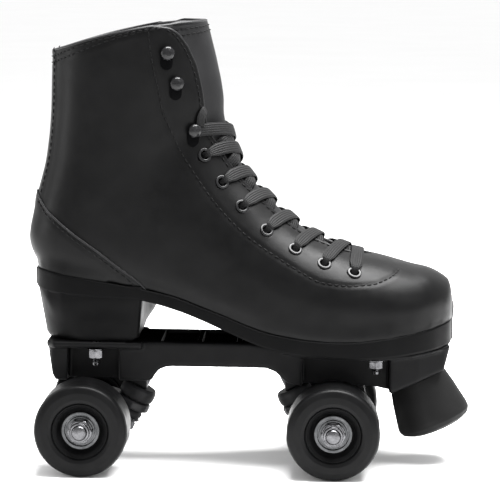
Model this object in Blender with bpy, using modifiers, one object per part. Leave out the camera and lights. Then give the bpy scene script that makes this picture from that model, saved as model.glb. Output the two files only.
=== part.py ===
"""A right-foot quad roller skate: a laced boot on a plate with two sprung trucks and four wheels.

Sizes are in millimetres, with x from the middle of the wheelbase towards the toe, y towards the
wearer's left and z up from the floor. The scene is in metres, and its origin lies on the floor
under the middle of the whole skate.
"""

from math import asin, cos, pi, radians, sin

import bmesh
import bpy
from mathutils import Matrix, Vector

MM = 0.001
MIDDLE_X = 22.7
GAP = 0.3

# Wheels, bearings and axles
AXLE_X = 72.6
WHEEL_RADIUS = 27.0
WHEEL_WIDTH = 33.0
WHEEL_Y = 49.5
WHEEL_FACETS = 20
BEARING_RADIUS = 11.0
BEARING_WIDTH = 7.0
BEARING_OUTSET = 8.2
AXLE_RADIUS = 4.0
AXLE_HALF = 70.0
AXLE_NUT_RADIUS = 7.3
AXLE_NUT_WIDTH = 6.0
RUNNING_BORE = 4.35

# Trucks: each stack of cushions and hanger ring sits on a kingpin that leans out to the axle
KINGPIN_LEAN = radians(26)
KINGPIN_FOOT_Z = 43.2
KINGPIN_FOOT_X = {"rear": -42.4, "front": 47.6}
KINGPIN_TOP = -12.0
KINGPIN_END = 31.5
KINGPIN_RADIUS = 4.0
# Start and end down the kingpin, and radius
UPPER_CUSHION = (0.3, 8.8, 10.5)
HANGER_RING = (9.2, 14.6, 10.8)
LOWER_CUSHION = (15.0, 20.5, 8.2)
CUP_WASHER = (20.8, 22.3, 8.5)
KINGPIN_NUT = (22.6, 29.6, 7.2)
RING_BORE = 5.3
PIVOT_X = {"rear": -88.0, "front": 87.0}
PIVOT_Z = 41.0
# Bore, radius and length
PIVOT_CUP = (5.3, 7.4, 8.0)
PIVOT_BOSS = (10.2, 9.0)
BARREL_RADIUS = 6.5
BARREL_HALF = 31.0
BARREL_NECK = (5.6, 37.4)
STEM_LENGTH = 18.3

# Plate: x, half-width, bottom z, top z of each cross-section, heel to toe
PLATE_BODY = (
    (-95.6, 21.0, 66.0, 73.5),
    (-93.2, 24.0, 52.5, 73.5),
    (-91.5, 24.0, 49.4, 73.5),
    (-37.3, 24.5, 49.4, 73.3),
    (-34.3, 24.5, 50.4, 73.3),
    (-32.9, 24.5, 53.0, 73.3),
    (-30.4, 24.5, 56.2, 73.3),
    (-27.0, 24.5, 57.8, 73.3),
    (-22.5, 24.5, 58.4, 73.3),
    (23.0, 24.5, 58.3, 73.2),
    (33.0, 24.5, 58.0, 72.0),
    (38.1, 24.5, 56.0, 71.0),
    (41.5, 24.5, 52.8, 70.2),
    (45.0, 24.5, 49.6, 69.6),
    (52.0, 24.5, 48.0, 68.9),
    (70.0, 24.5, 47.3, 68.0),
    (88.0, 24.5, 46.7, 67.2),
    (96.0, 24.5, 46.4, 67.5),
    (106.8, 24.5, 44.0, 68.0),
    (122.0, 23.0, 50.5, 69.4),
    (137.3, 17.0, 57.0, 71.2),
    (140.4, 14.0, 68.5, 71.5),
)
REAR_FLANGE = ((-96.4, 24.0, 69.4, 73.5), (-92.0, 30.0, 69.4, 73.5), (-40.0, 30.0, 69.4, 73.4))
FRONT_FLANGE = (
    (42.0, 30.0, 67.8, 70.2),
    (52.8, 32.0, 66.0, 68.8),
    (64.4, 33.0, 65.2, 68.2),
    (88.0, 33.0, 64.9, 67.2),
    (104.0, 32.0, 64.9, 67.8),
    (118.0, 30.0, 66.0, 69.0),
    (130.0, 24.0, 68.0, 70.4),
    (140.6, 14.0, 69.6, 71.5),
)
SIDE_POCKETS = ((-84.0, -54.0, 69.4), (54.0, 105.0, 64.9))
POCKET_FLOOR_Y = 13.0
CHANNEL = (-29.0, 36.0, 20.5, 69.0)
BOLT_Y = 26.0
BOLT_RADIUS = 2.1
REAR_BOLT = (-67.2, 59.1, 84.0, 69.1, 5.6)
FRONT_BOLT = (97.1, 56.2, 72.6, 64.6, 5.0)

# Toe stop
STOP_TOP = (121.8, 50.6)
STOP_LEAN = radians(23)
STOP_PROFILE = (
    (17.3, 0.0),
    (22.0, -24.0),
    (22.2, -26.5),
    (21.2, -29.3),
    (17.5, -31.4),
    (9.5, -32.6),
    (9.5, -24.0),
    (4.7, -24.0),
    (4.7, 0.0),
)

# Sole unit: x, half-width, sideways shift, bottom z, top z
SOLE = (
    (-104.6, 9.0, 0.0, 106.0, 116.6),
    (-101.5, 17.5, 0.0, 104.0, 116.6),
    (-96.0, 24.0, 0.0, 102.5, 115.8),
    (-87.0, 29.6, 0.0, 101.5, 113.6),
    (-72.0, 32.6, 0.0, 100.5, 111.5),
    (-52.6, 33.6, 0.0, 99.5, 108.6),
    (-38.5, 34.0, 0.0, 98.6, 106.0),
    (-20.1, 34.6, -0.3, 93.7, 101.0),
    (-5.5, 35.2, -0.6, 88.3, 95.6),
    (7.9, 36.6, -0.8, 82.6, 90.8),
    (23.6, 39.6, -1.0, 76.2, 84.9),
    (35.3, 42.0, -1.0, 72.6, 81.5),
    (52.8, 45.2, -0.8, 69.4, 78.8),
    (70.0, 46.6, -0.2, 68.4, 77.6),
    (87.6, 46.6, 0.5, 67.6, 77.9),
    (104.7, 43.6, 1.8, 68.3, 79.7),
    (118.0, 38.6, 3.2, 69.4, 81.4),
    (129.0, 31.9, 4.6, 70.6, 83.2),
    (136.0, 24.2, 5.6, 71.5, 84.8),
    (140.3, 17.0, 6.2, 72.2, 86.0),
    (142.2, 8.6, 6.5, 73.4, 86.6),
)
# Heel block: z, rear x, front x, half-width
HEEL = ((73.9, -97.6, -44.6, 27.6), (75.9, -99.0, -42.0, 28.4), (107.0, -104.2, -38.6, 32.2))

# Boot: front or top point, sole or back point, half-width, sideways shift, height of the widest
# line as a share of the section, and how square the section is above and below that line
BOOT = (
    ((142.9, 95.5), (141.9, 84.4), 9.5, 6.5, 0.50, 2.2, 3.0),
    ((141.2, 106.0), (139.6, 82.4), 17.5, 6.2, 0.46, 2.2, 3.6),
    ((137.8, 110.4), (134.6, 80.6), 24.5, 5.6, 0.44, 2.2, 4.5),
    ((128.8, 115.1), (126.0, 78.6), 33.0, 4.3, 0.42, 2.2, 5.5),
    ((116.9, 117.9), (114.0, 76.4), 39.3, 2.7, 0.40, 2.2, 6.5),
    ((99.1, 123.0), (96.0, 74.6), 44.0, 1.2, 0.38, 2.2, 7.0),
    ((80.0, 127.2), (75.0, 73.8), 45.8, 0.2, 0.38, 2.2, 7.0),
    ((57.4, 136.2), (51.0, 75.6), 44.0, -0.7, 0.38, 2.2, 7.0),
    ((42.5, 147.4), (28.0, 80.8), 40.6, -1.0, 0.38, 2.1, 7.0),
    ((28.7, 160.9), (3.0, 89.6), 37.2, -0.8, 0.40, 2.1, 6.5),
    ((18.6, 172.7), (-24.0, 99.0), 35.4, -0.4, 0.42, 2.1, 6.0),
    ((12.6, 184.5), (-58.0, 106.6), 34.6, 0.0, 0.44, 2.1, 5.0),
    ((8.6, 196.3), (-93.0, 110.6), 34.0, 0.0, 0.46, 2.1, 3.2),
    ((6.0, 206.0), (-107.6, 127.0), 34.0, 0.0, 0.48, 2.1, 2.3),
    ((5.4, 216.0), (-105.5, 150.0), 34.4, 0.0, 0.50, 2.1, 2.1),
    ((4.2, 225.0), (-98.9, 176.0), 35.2, 0.0, 0.50, 2.1, 2.1),
    ((2.4, 233.6), (-95.8, 200.0), 36.2, 0.0, 0.50, 2.1, 2.1),
    ((-0.2, 246.0), (-94.8, 222.0), 37.2, 0.0, 0.50, 2.1, 2.1),
    ((-4.5, 260.8), (-94.6, 242.3), 38.0, 0.0, 0.50, 2.1, 2.1),
)
LAST_SECTION = len(BOOT) - 1
RIM_CROWN = 3.0
UPPER_THICK = 2.4
UPPER_ROWS = (0, 0.5, 1, 1.6, 2.3, 3, 4, 5.25, 5.6, 6.3, 7.1, 8, 9, 10, 10.8, 11.5, 12, 12.5, 13,
              13.6, 14.3, 15.2, 16.2, 17.1, 18)
UPPER_COLUMNS = 26
# How many of those rows reach the sole unit
ROOM_ROWS = 20
# Half the gap between the lace facings, at boot sections from the throat's end to the collar
THROAT_START = 5.25
THROAT = ((5.25, 0.0), (5.6, 7.5), (6.2, 10.0), (8.0, 12.5), (10.0, 14.5), (12.0, 17.0),
          (14.0, 20.5), (16.0, 23.0), (18.0, 27.0))
TONGUE_THICK = 3.0
TONGUE_LAP = 9.0
TONGUE_ROWS = (4.9, 5.5, 6.0, 6.6, 7.4, 8.2, 9, 10, 11, 12, 13, 14, 15, 16, 17, 18)
INSOLE_THICK = 2.0
INSOLE_SHARE = 0.82

# Lacing: eyelets and hooks on one side, x and z, toe to collar
EYELETS = ((83.7, 116.8), (66.2, 122.0), (49.3, 130.0), (32.7, 140.7), (18.1, 154.0),
           (6.3, 167.8), (-4.1, 183.3))
HOOKS = ((-10.9, 197.6), (-20.7, 225.2), (-25.9, 242.6))
LACE_WIDTH = 6.8
LACE_THICK = 1.4
LACE_STEPS = 5
LACE_LIFT = {"lateral": 1.2, "medial": 1.9}
SIDES = {"lateral": -1, "medial": 1}


def place(x, y, z):
    return Vector((x - MIDDLE_X, y, z)) * MM


# ---------------------------------------------------------------- scene, materials and helpers
def clear_scene():
    for obj in list(bpy.data.objects):
        bpy.data.objects.remove(obj, do_unlink=True)


def new_collection(name):
    collection = bpy.data.collections.new(name)
    bpy.context.scene.collection.children.link(collection)
    return collection


def new_material(name, color, roughness, metallic=0.0):
    material = bpy.data.materials.new(name)
    material.use_nodes = True
    shader = material.node_tree.nodes["Principled BSDF"]
    shader.inputs["Base Color"].default_value = (*color, 1.0)
    shader.inputs["Roughness"].default_value = roughness
    shader.inputs["Metallic"].default_value = metallic
    return material


def add_object(name, mesh, material=None):
    """A node of the skate, or a hidden helper when it has no material."""
    obj = bpy.data.objects.new(name, mesh)
    if material is None:
        HELPERS.objects.link(obj)
        obj.hide_render = True
        obj.display_type = "WIRE"
    else:
        SKATE.objects.link(obj)
        mesh.materials.append(material)
        mesh.shade_smooth()
        mesh.set_sharp_from_angle(angle=radians(35))
    return obj


def boolean(obj, operation, others, solver="EXACT"):
    for other in others:
        modifier = obj.modifiers.new(f"{operation.lower()} {other.name}", "BOOLEAN")
        modifier.operation = operation
        modifier.solver = solver
        modifier.object = other
    return obj


def lofted(name, rings, material=None):
    """A solid through rings of the same number of points, with its first and last ring filled."""
    bm = bmesh.new()
    rows = [[bm.verts.new(point) for point in ring] for ring in rings]
    count = len(rows[0])
    for near, far in zip(rows, rows[1:]):
        for i in range(count):
            j = (i + 1) % count
            bm.faces.new((near[i], near[j], far[j], far[i]))
    bm.faces.new(rows[0])
    bm.faces.new(rows[-1])
    bmesh.ops.recalc_face_normals(bm, faces=bm.faces)
    mesh = bpy.data.meshes.new(name)
    bm.to_mesh(mesh)
    bm.free()
    return add_object(name, mesh, material)


def slab(name, sections, material=None, corner=1.0):
    """A solid through upright rectangles (x, half-width, shift, bottom, top) with cut corners."""
    rings = []
    for x, half, shift, low, high in sections:
        cut = min(corner, (high - low) / 3)
        corners = ((-half, low, 1, 1), (half, low, -1, 1), (half, high, -1, -1), (-half, high, 1, -1))
        ring = []
        for index, (y, z, inward, up) in enumerate(corners):
            flat = place(x, shift + y + inward * cut, z)
            upright = place(x, shift + y, z + up * cut)
            ring += [upright, flat] if index % 2 == 0 else [flat, upright]
        rings.append(ring)
    return lofted(name, rings, material)


def centred_slab(name, sections, material=None, corner=1.0):
    return slab(name, [(x, half, 0.0, low, high) for x, half, low, high in sections], material, corner)


def turned(name, profile, facets, centre, axis, material=None, half_turn=False):
    """A turned solid: its profile (radius, height) runs down the outer side and back up the bore.

    A profile that starts and ends on the axis makes a solid without a bore."""
    on_axis = profile[0][0] == 0
    bm = bmesh.new()
    points = [bm.verts.new((radius * MM, 0.0, height * MM)) for radius, height in profile]
    for first, second in zip(points, points[1:]):
        bm.edges.new((first, second))
    if not on_axis:
        bm.edges.new((points[-1], points[0]))
    mesh = bpy.data.meshes.new(name)
    bm.to_mesh(mesh)
    bm.free()
    obj = add_object(name, mesh, material)
    screw = obj.modifiers.new("turn", "SCREW")
    screw.steps = facets
    screw.render_steps = facets
    screw.use_merge_vertices = True
    screw.merge_threshold = 0.00001
    screw.use_normal_calculate = False
    obj.location = centre
    obj.rotation_mode = "QUATERNION"
    obj.rotation_quaternion = Vector((0, 0, 1)).rotation_difference(axis)
    if half_turn:
        spin = Matrix.Rotation(pi / facets, 4, "Z").to_quaternion()
        obj.rotation_quaternion = obj.rotation_quaternion @ spin
    return obj


def cylinder(name, radius, start, end, facets, material=None, bevel=0.0):
    """A round bar from one point to another, with its ends cut at 45 degrees by bevel."""
    length = (end - start).length / MM
    profile = [(0.0, length)]
    if bevel:
        profile += [(radius - bevel, length), (radius, length - bevel), (radius, bevel)]
        profile += [(radius - bevel, 0.0)]
    else:
        profile += [(radius, length), (radius, 0.0)]
    profile += [(0.0, 0.0)]
    return turned(name, profile, facets, start, (end - start).normalized(), material)


def tube(name, bore, radius, start, end, facets, material, bevel=0.0):
    length = (end - start).length / MM
    outer = ((radius, length), (radius, 0.0))
    if bevel:
        outer = ((radius - bevel, length), (radius, length - bevel), (radius, bevel),
                 (radius - bevel, 0.0))
    profile = (*outer, (bore, 0.0), (bore, length))
    return turned(name, profile, facets, start, (end - start).normalized(), material)


def parent_to(empty, children):
    for child in children:
        child.parent = empty
        child.matrix_parent_inverse = empty.matrix_basis.inverted()


# ---------------------------------------------------------------- the boot's outer face
def between(rows, at):
    """The value at a place in a table of (place, value) rows, straight between the rows."""
    for (x0, v0), (x1, v1) in zip(rows, rows[1:]):
        if at <= x1:
            break
    share = min(1.0, max(0.0, (at - x0) / (x1 - x0)))
    return v0 + (v1 - v0) * share


def smooth(values, share):
    """A Catmull-Rom value between the second and third of four values."""
    a, b, c, d = values
    return 0.5 * (
        2 * b + (c - a) * share + (2 * a - 5 * b + 4 * c - d) * share**2
        + (3 * b - a - 3 * c + d) * share**3
    )


def boot_section(s):
    """The nine numbers of the boot's section at s, smooth between the rows of BOOT."""
    index = min(int(s), LAST_SECTION - 1)
    rows = [BOOT[min(max(index + step, 0), LAST_SECTION)] for step in (-1, 0, 1, 2)]
    flat = [(*top, *sole, *rest) for top, sole, *rest in rows]
    return [smooth(values, s - index) for values in zip(*flat)]


def boot_skin(s, turn):
    """A point of the outer face, in millimetres: turn is 0 at the top or front of the section,
    a quarter turn at the lateral side and half a turn at the sole or back."""
    top_x, top_z, sole_x, sole_z, half, shift, widest, square_top, square_sole = boot_section(s)
    up = cos(turn) >= 0
    power = 2 / (square_top if up else square_sole)
    reach = abs(cos(turn)) ** power
    share = widest + (1 - widest) * reach if up else widest * (1 - reach)
    side = abs(sin(turn)) ** power * (-1 if sin(turn) > 0 else 1)
    crown = RIM_CROWN * max(0.0, s - LAST_SECTION + 1) * sin(pi * share)
    return Vector((
        sole_x + (top_x - sole_x) * share,
        shift + half * side,
        sole_z + (top_z - sole_z) * share + crown,
    ))


def boot_normal(s, turn):
    step = 0.02
    back = max(s - step, 0.0)
    ahead = min(s + step, LAST_SECTION)
    along = boot_skin(ahead, turn) - boot_skin(back, turn)
    around = boot_skin(s, turn + step) - boot_skin(s, turn - step)
    return along.cross(around).normalized()


def boot_point(s, turn, outset=0.0):
    point = boot_skin(s, turn) + boot_normal(s, turn) * outset
    return place(*point)


def turn_at(s, y, sole=False):
    """The turn at which the section at s is y from its middle plane, near the top or the sole."""
    section = boot_section(s)
    power = section[8 if sole else 7]
    share = min(abs(y) / section[4], 1.0)
    angle = asin(share ** (power / 2))
    return pi - angle if sole else angle


def throat_turn(s):
    return 0.0 if s <= THROAT_START else turn_at(s, between(THROAT, s))


def boot_spot(x, z, side):
    """The section and turn of the point of one side's face whose x and z are given."""
    s, turn = 9.0, 0.9
    for _ in range(40):
        here = boot_skin(s, turn)
        along = (boot_skin(s + 0.01, turn) - here) / 0.01
        around = (boot_skin(s, turn + 0.01) - here) / 0.01
        matrix = Matrix(((along.x, around.x), (along.z, around.z)))
        move = matrix.inverted() @ Vector((x - here.x, z - here.z))
        s = min(max(s + max(-0.5, min(0.5, move.x)), 0.1), LAST_SECTION - 0.1)
        turn = min(max(turn + max(-0.2, min(0.2, move.y)), 0.1), 1.5)
    return s, -turn * side


# ---------------------------------------------------------------- boot parts
def skin_patch(rows, outset):
    """A sheet of faces on rows of (section, turns), moved off the boot's face by outset(s, turn)."""
    bm = bmesh.new()
    grid = [[bm.verts.new(boot_point(s, turn, outset(s, turn))) for turn in turns] for s, turns in rows]
    for near, far in zip(grid, grid[1:]):
        for i in range(len(near) - 1):
            bm.faces.new((near[i], far[i], far[i + 1], near[i + 1]))
    return grid, bm


def finish_patch(name, bm, thickness, material):
    """The sheet thickened inwards, so that its outer face stays where it is."""
    bmesh.ops.remove_doubles(bm, verts=bm.verts, dist=0.00001)
    mesh = bpy.data.meshes.new(name)
    bm.to_mesh(mesh)
    bm.free()
    obj = add_object(name, mesh, material)
    solidify = obj.modifiers.new("thickness", "SOLIDIFY")
    solidify.thickness = thickness * MM
    solidify.offset = -1.0
    solidify.use_even_offset = True
    return obj


def spread(start, end, count):
    return [start + (end - start) * i / (count - 1) for i in range(count)]


def make_upper():
    """The leather upper: closed at toe and sole, open at the collar and between the facings."""
    rows = []
    for s in UPPER_ROWS:
        edge = throat_turn(s)
        rows.append((s, spread(edge, 2 * pi - edge, UPPER_COLUMNS + 1)))
    grid, bm = skin_patch(rows, lambda s, turn: 0.0)
    bm.faces.new(grid[0][:-1])
    bmesh.ops.remove_doubles(bm, verts=bm.verts, dist=0.00001)
    bmesh.ops.recalc_face_normals(bm, faces=bm.faces)
    return finish_patch("boot_upper", bm, UPPER_THICK, LEATHER)


def make_tongue():
    """The tongue lies under both facings and swells up between them to the boot's own line."""
    under = UPPER_THICK + 0.9

    def outset(s, turn):
        edge = throat_turn(s) * 0.75
        rise = min(1.0, max(0.0, (s - 6.0) / 0.8))
        swell = max(0.0, 1 - (turn / edge) ** 2) if edge > 0 else 0.0
        return -under + under * rise * swell

    rows = []
    for s in TONGUE_ROWS:
        edge = turn_at(s, between(THROAT, s) + TONGUE_LAP)
        rows.append((s, spread(-edge, edge, 11)))
    _, bm = skin_patch(rows, outset)
    return finish_patch("tongue", bm, TONGUE_THICK, TONGUE_LEATHER)


def make_insole():
    def outset(s, turn):
        return -UPPER_THICK - 0.6

    rows = []
    for s in (2.2, 3, 4, 5, 6, 7, 8, 9, 10, 11, 11.6):
        half = boot_section(s)[4] * INSOLE_SHARE
        edge = turn_at(s, half, sole=True)
        rows.append((s, spread(edge, 2 * pi - edge, 7)))
    _, bm = skin_patch(rows, outset)
    return finish_patch("insole", bm, INSOLE_THICK, INSOLE_FOAM)


def heel_ring(z, rear, front, half):
    """The heel's outline at one height: a rounded back and a nearly straight breast."""
    depth = 26.0
    ring = [place(front, -half, z), place(front, half, z)]
    for i in range(9):
        angle = pi * i / 8
        ring.append(place(rear + depth - depth * sin(angle), half * cos(angle), z))
    return ring


def make_sole():
    sole = slab("sole_unit", SOLE, SOLE_RUBBER, corner=0.8)
    heel = lofted("heel_shape", [heel_ring(*level) for level in HEEL])
    rings = []
    for s in UPPER_ROWS[:ROOM_ROWS]:
        edge = throat_turn(s)
        turns = spread(edge, 2 * pi - edge, UPPER_COLUMNS + 1)[:-1]
        rings.append([boot_point(s, turn, GAP) for turn in turns])
    boot_room = lofted("boot_room", rings)
    cuts = [boot_room]
    for label, (x, _, top, _, _) in (("rear", REAR_BOLT), ("front", FRONT_BOLT)):
        for side, sign in SIDES.items():
            start = place(x, sign * BOLT_Y, 60.0)
            end = place(x, sign * BOLT_Y, top + GAP)
            cuts.append(cylinder(f"{label}_{side}_bolt_room", BOLT_RADIUS + 0.5, start, end, 8))
    boolean(sole, "UNION", [heel])
    return boolean(sole, "DIFFERENCE", cuts, solver="MANIFOLD")


def lace_strap(s0, turn0, s1, turn1, reach, lift, width):
    """The outline rings of one strap that crosses the throat from one eyelet to the next."""
    rings = []
    for share in spread(-0.12, reach, LACE_STEPS + 3):
        s = s0 + (s1 - s0) * share
        turn = turn0 + (turn1 - turn0) * share
        centre = boot_point(s, turn, lift)
        ahead = boot_point(s + (s1 - s0) * 0.01, turn + (turn1 - turn0) * 0.01, lift)
        up = boot_normal(s, turn)
        across = up.cross((ahead - centre).normalized())
        half = across * width / 2 * MM
        rise = up * LACE_THICK * MM
        rings.append([centre - half, centre + half, centre + half + rise, centre - half + rise])
    return rings


def lace_set(name, first_side, lift, width, material=None):
    """Every strap that starts on one side, in one mesh."""
    bm = bmesh.new()
    places = list(EYELETS) + [HOOKS[0]]
    for lower, upper in zip(places, places[1:]):
        reach = 0.84 if upper == HOOKS[0] else 1.12
        start = boot_spot(*lower, first_side)
        end = boot_spot(*upper, -first_side)
        rows = [[bm.verts.new(point) for point in ring] for ring in lace_strap(*start, *end, reach, lift, width)]
        for near, far in zip(rows, rows[1:]):
            for i in range(4):
                j = (i + 1) % 4
                bm.faces.new((near[i], near[j], far[j], far[i]))
        bm.faces.new(rows[0])
        bm.faces.new(rows[-1])
    bmesh.ops.recalc_face_normals(bm, faces=bm.faces)
    mesh = bpy.data.meshes.new(name)
    bm.to_mesh(mesh)
    bm.free()
    return add_object(name, mesh, material)


def make_lace():
    """One flat lace, joined where its straps cross and where they meet at an eyelet."""
    lace = lace_set("lace", SIDES["lateral"], LACE_LIFT["lateral"], LACE_WIDTH, LACE_CLOTH)
    other = lace_set("lace_other_way", SIDES["medial"], LACE_LIFT["medial"], LACE_WIDTH - 0.7)
    return boolean(lace, "UNION", [other], solver="MANIFOLD")


def make_hooks():
    profile = ((0.0, 4.6), (3.0, 4.0), (4.4, 2.6), (1.9, 2.0), (1.9, 0.8), (4.0, 0.6),
               (4.0, 0.0), (0.0, 0.0))
    for side, sign in SIDES.items():
        for number, (x, z) in enumerate(HOOKS, start=1):
            s, turn = boot_spot(x, z, sign)
            centre = boot_point(s, turn, 0.5)
            turned(f"lace_hook_{side}_{number}", profile, 8, centre, boot_normal(s, turn), BLACK_METAL)


# ---------------------------------------------------------------- plate, bolts and toe stop
def kingpin_axis(end):
    """A truck's way down its kingpin, which leans towards its axle."""
    lean = sin(KINGPIN_LEAN) * (1 if end == "front" else -1)
    return Vector((lean, 0.0, -cos(KINGPIN_LEAN)))


def on_kingpin(end, down):
    foot = Vector((KINGPIN_FOOT_X[end], 0.0, KINGPIN_FOOT_Z))
    return place(*(foot + kingpin_axis(end) * down))


def ring_centre(end):
    return on_kingpin(end, (HANGER_RING[0] + HANGER_RING[1]) / 2)


def pivot_point(end):
    return place(PIVOT_X[end], 0.0, PIVOT_Z)


def truck_axis(end):
    """The line a truck tilts about: from the middle of its ring to its pivot ball."""
    return (pivot_point(end) - ring_centre(end)).normalized()


def stop_point(down):
    axis = Vector((sin(STOP_LEAN), 0.0, -cos(STOP_LEAN)))
    return place(STOP_TOP[0], 0.0, STOP_TOP[1]) + axis * down * MM


def box(name, x0, x1, y0, y1, z0, z1):
    middle = (y0 + y1) / 2
    half = (y1 - y0) / 2
    return slab(name, [(x0, half, middle, z0, z1), (x1, half, middle, z0, z1)], corner=0.6)


def kingpin_foot(end):
    """The wedge under the plate whose lower face is square to the kingpin."""
    outward = 1 if end == "front" else -1
    sections = []
    for reach in (-4.0, 10.5):
        x = KINGPIN_FOOT_X[end] + outward * reach
        low = KINGPIN_FOOT_Z + reach * sin(KINGPIN_LEAN) / cos(KINGPIN_LEAN)
        sections.append((x, 9.0, low, 60.0))
    return centred_slab(f"{end}_kingpin_foot", sections, corner=0.5)


def make_plate():
    plate = centred_slab("plate", PLATE_BODY, PLATE_NYLON, corner=1.2)
    joins = [
        centred_slab("rear_flange", REAR_FLANGE, corner=0.8),
        centred_slab("front_flange", FRONT_FLANGE, corner=0.6),
    ]
    cuts = [box("plate_channel", CHANNEL[0], CHANNEL[1], -CHANNEL[2], CHANNEL[2], 40.0, CHANNEL[3])]
    for index, (x0, x1, top) in enumerate(SIDE_POCKETS):
        for side, sign in SIDES.items():
            y0, y1 = sorted((sign * POCKET_FLOOR_Y, sign * 40.0))
            cuts.append(box(f"side_pocket_{index}_{side}", x0, x1, y0, y1, 30.0, top))
    bores = []
    for end in ("rear", "front"):
        axis = truck_axis(end)
        centre = pivot_point(end)
        half = axis * PIVOT_BOSS[1] / 2 * MM
        joins.append(kingpin_foot(end))
        joins.append(cylinder(f"{end}_pivot_boss", PIVOT_BOSS[0], centre - half, centre + half, 16))
        web = sorted((PIVOT_X[end] - 4.0, PIVOT_X[end] + 3.6))
        joins.append(box(f"{end}_pivot_web", web[0], web[1], -7.0, 7.0, 45.0, 56.0))
        bores.append(cylinder(f"{end}_cup_bore", PIVOT_CUP[1] + 0.4, centre - half * 3,
                              centre + half * 3, 16))
        bores.append(cylinder(f"{end}_kingpin_bore", KINGPIN_RADIUS + 0.5,
                              on_kingpin(end, KINGPIN_TOP - 0.5), on_kingpin(end, 5.0), 12))
    for label, (x, *_) in (("rear", REAR_BOLT), ("front", FRONT_BOLT)):
        for side, sign in SIDES.items():
            start = place(x, sign * BOLT_Y, 50.0)
            end_point = place(x, sign * BOLT_Y, 80.0)
            bores.append(cylinder(f"{label}_{side}_flange_bore", BOLT_RADIUS + 0.5, start, end_point, 8))
    bores.append(cylinder("stop_bore", 5.2, stop_point(-15.5), stop_point(6.0), 12))
    boolean(plate, "DIFFERENCE", cuts)
    boolean(plate, "UNION", joins)
    return boolean(plate, "DIFFERENCE", bores)


def hex_nut(name, bore, radius, start, end, material):
    """A six-sided nut with a six-sided bore that clears its bolt."""
    length = (end - start).length / MM
    profile = ((radius - 0.5, length), (radius, length - 0.5), (radius, 0.5), (radius - 0.5, 0.0),
               (bore, 0.0), (bore, length))
    return turned(name, profile, 6, start, (end - start).normalized(), material)


def make_mounting_bolts():
    for label, (x, low, high, nut_top, nut_height) in (("rear", REAR_BOLT), ("front", FRONT_BOLT)):
        for side, sign in SIDES.items():
            y = sign * BOLT_Y
            cylinder(f"mounting_bolt_{label}_{side}", BOLT_RADIUS, place(x, y, low), place(x, y, high),
                     10, ZINC, bevel=0.4)
            hex_nut(f"mounting_nut_{label}_{side}", 2.9, 4.8, place(x, y, nut_top - nut_height),
                    place(x, y, nut_top), ZINC)


def make_toe_stop():
    axis = (stop_point(-1.0) - stop_point(0.0)).normalized()
    turned("toe_stop", STOP_PROFILE, 28, stop_point(0.6), axis, STOP_RUBBER)
    bolt = ((0.0, 15.0), (3.6, 15.0), (4.2, 14.4), (4.2, -24.4), (7.5, -24.4), (7.5, -29.0),
            (6.9, -29.6), (0.0, -29.6))
    turned("toe_stop_bolt", bolt, 12, stop_point(0.6), axis, ZINC)


# ---------------------------------------------------------------- trucks and wheels
def make_stack(end):
    """The kingpin and what is clamped on it, which all stay with the plate."""
    def along(span):
        return on_kingpin(end, span[1]), on_kingpin(end, span[0])

    cylinder(f"kingpin_{end}", KINGPIN_RADIUS, on_kingpin(end, KINGPIN_END),
             on_kingpin(end, KINGPIN_TOP), 12, ZINC, bevel=0.6)
    bore = KINGPIN_RADIUS + 0.5
    for label, span in (("upper", UPPER_CUSHION), ("lower", LOWER_CUSHION)):
        tube(f"{label}_cushion_{end}", bore, span[2], *along(span), 12, CUSHION_RUBBER, bevel=1.6)
    tube(f"cup_washer_{end}", bore, CUP_WASHER[2], *along(CUP_WASHER), 12, ZINC)
    hex_nut(f"kingpin_nut_{end}", 5.2, KINGPIN_NUT[2], *along(KINGPIN_NUT), ZINC)
    half = truck_axis(end) * PIVOT_CUP[2] / 2 * MM
    centre = pivot_point(end)
    tube(f"pivot_cup_{end}", PIVOT_CUP[0], PIVOT_CUP[1], centre - half, centre + half, 14,
         CUSHION_RUBBER)


def arm_sections(end):
    """The hanger's arm from its ring, between the cushions, back to the axle barrel."""
    outward = 1 if end == "front" else -1
    ring = ring_centre(end) / MM
    ring_x = ring.x + MIDDLE_X
    axle_x = outward * AXLE_X
    sections = [(axle_x, 10.0, 25.0, 37.5)]
    for reach, half, low, high in ((13.0, 9.5, 36.3, 40.2), (8.0, 8.5, 33.9, 38.6)):
        sections.append((ring_x + outward * reach, half, low, high))
    return sections


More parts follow.
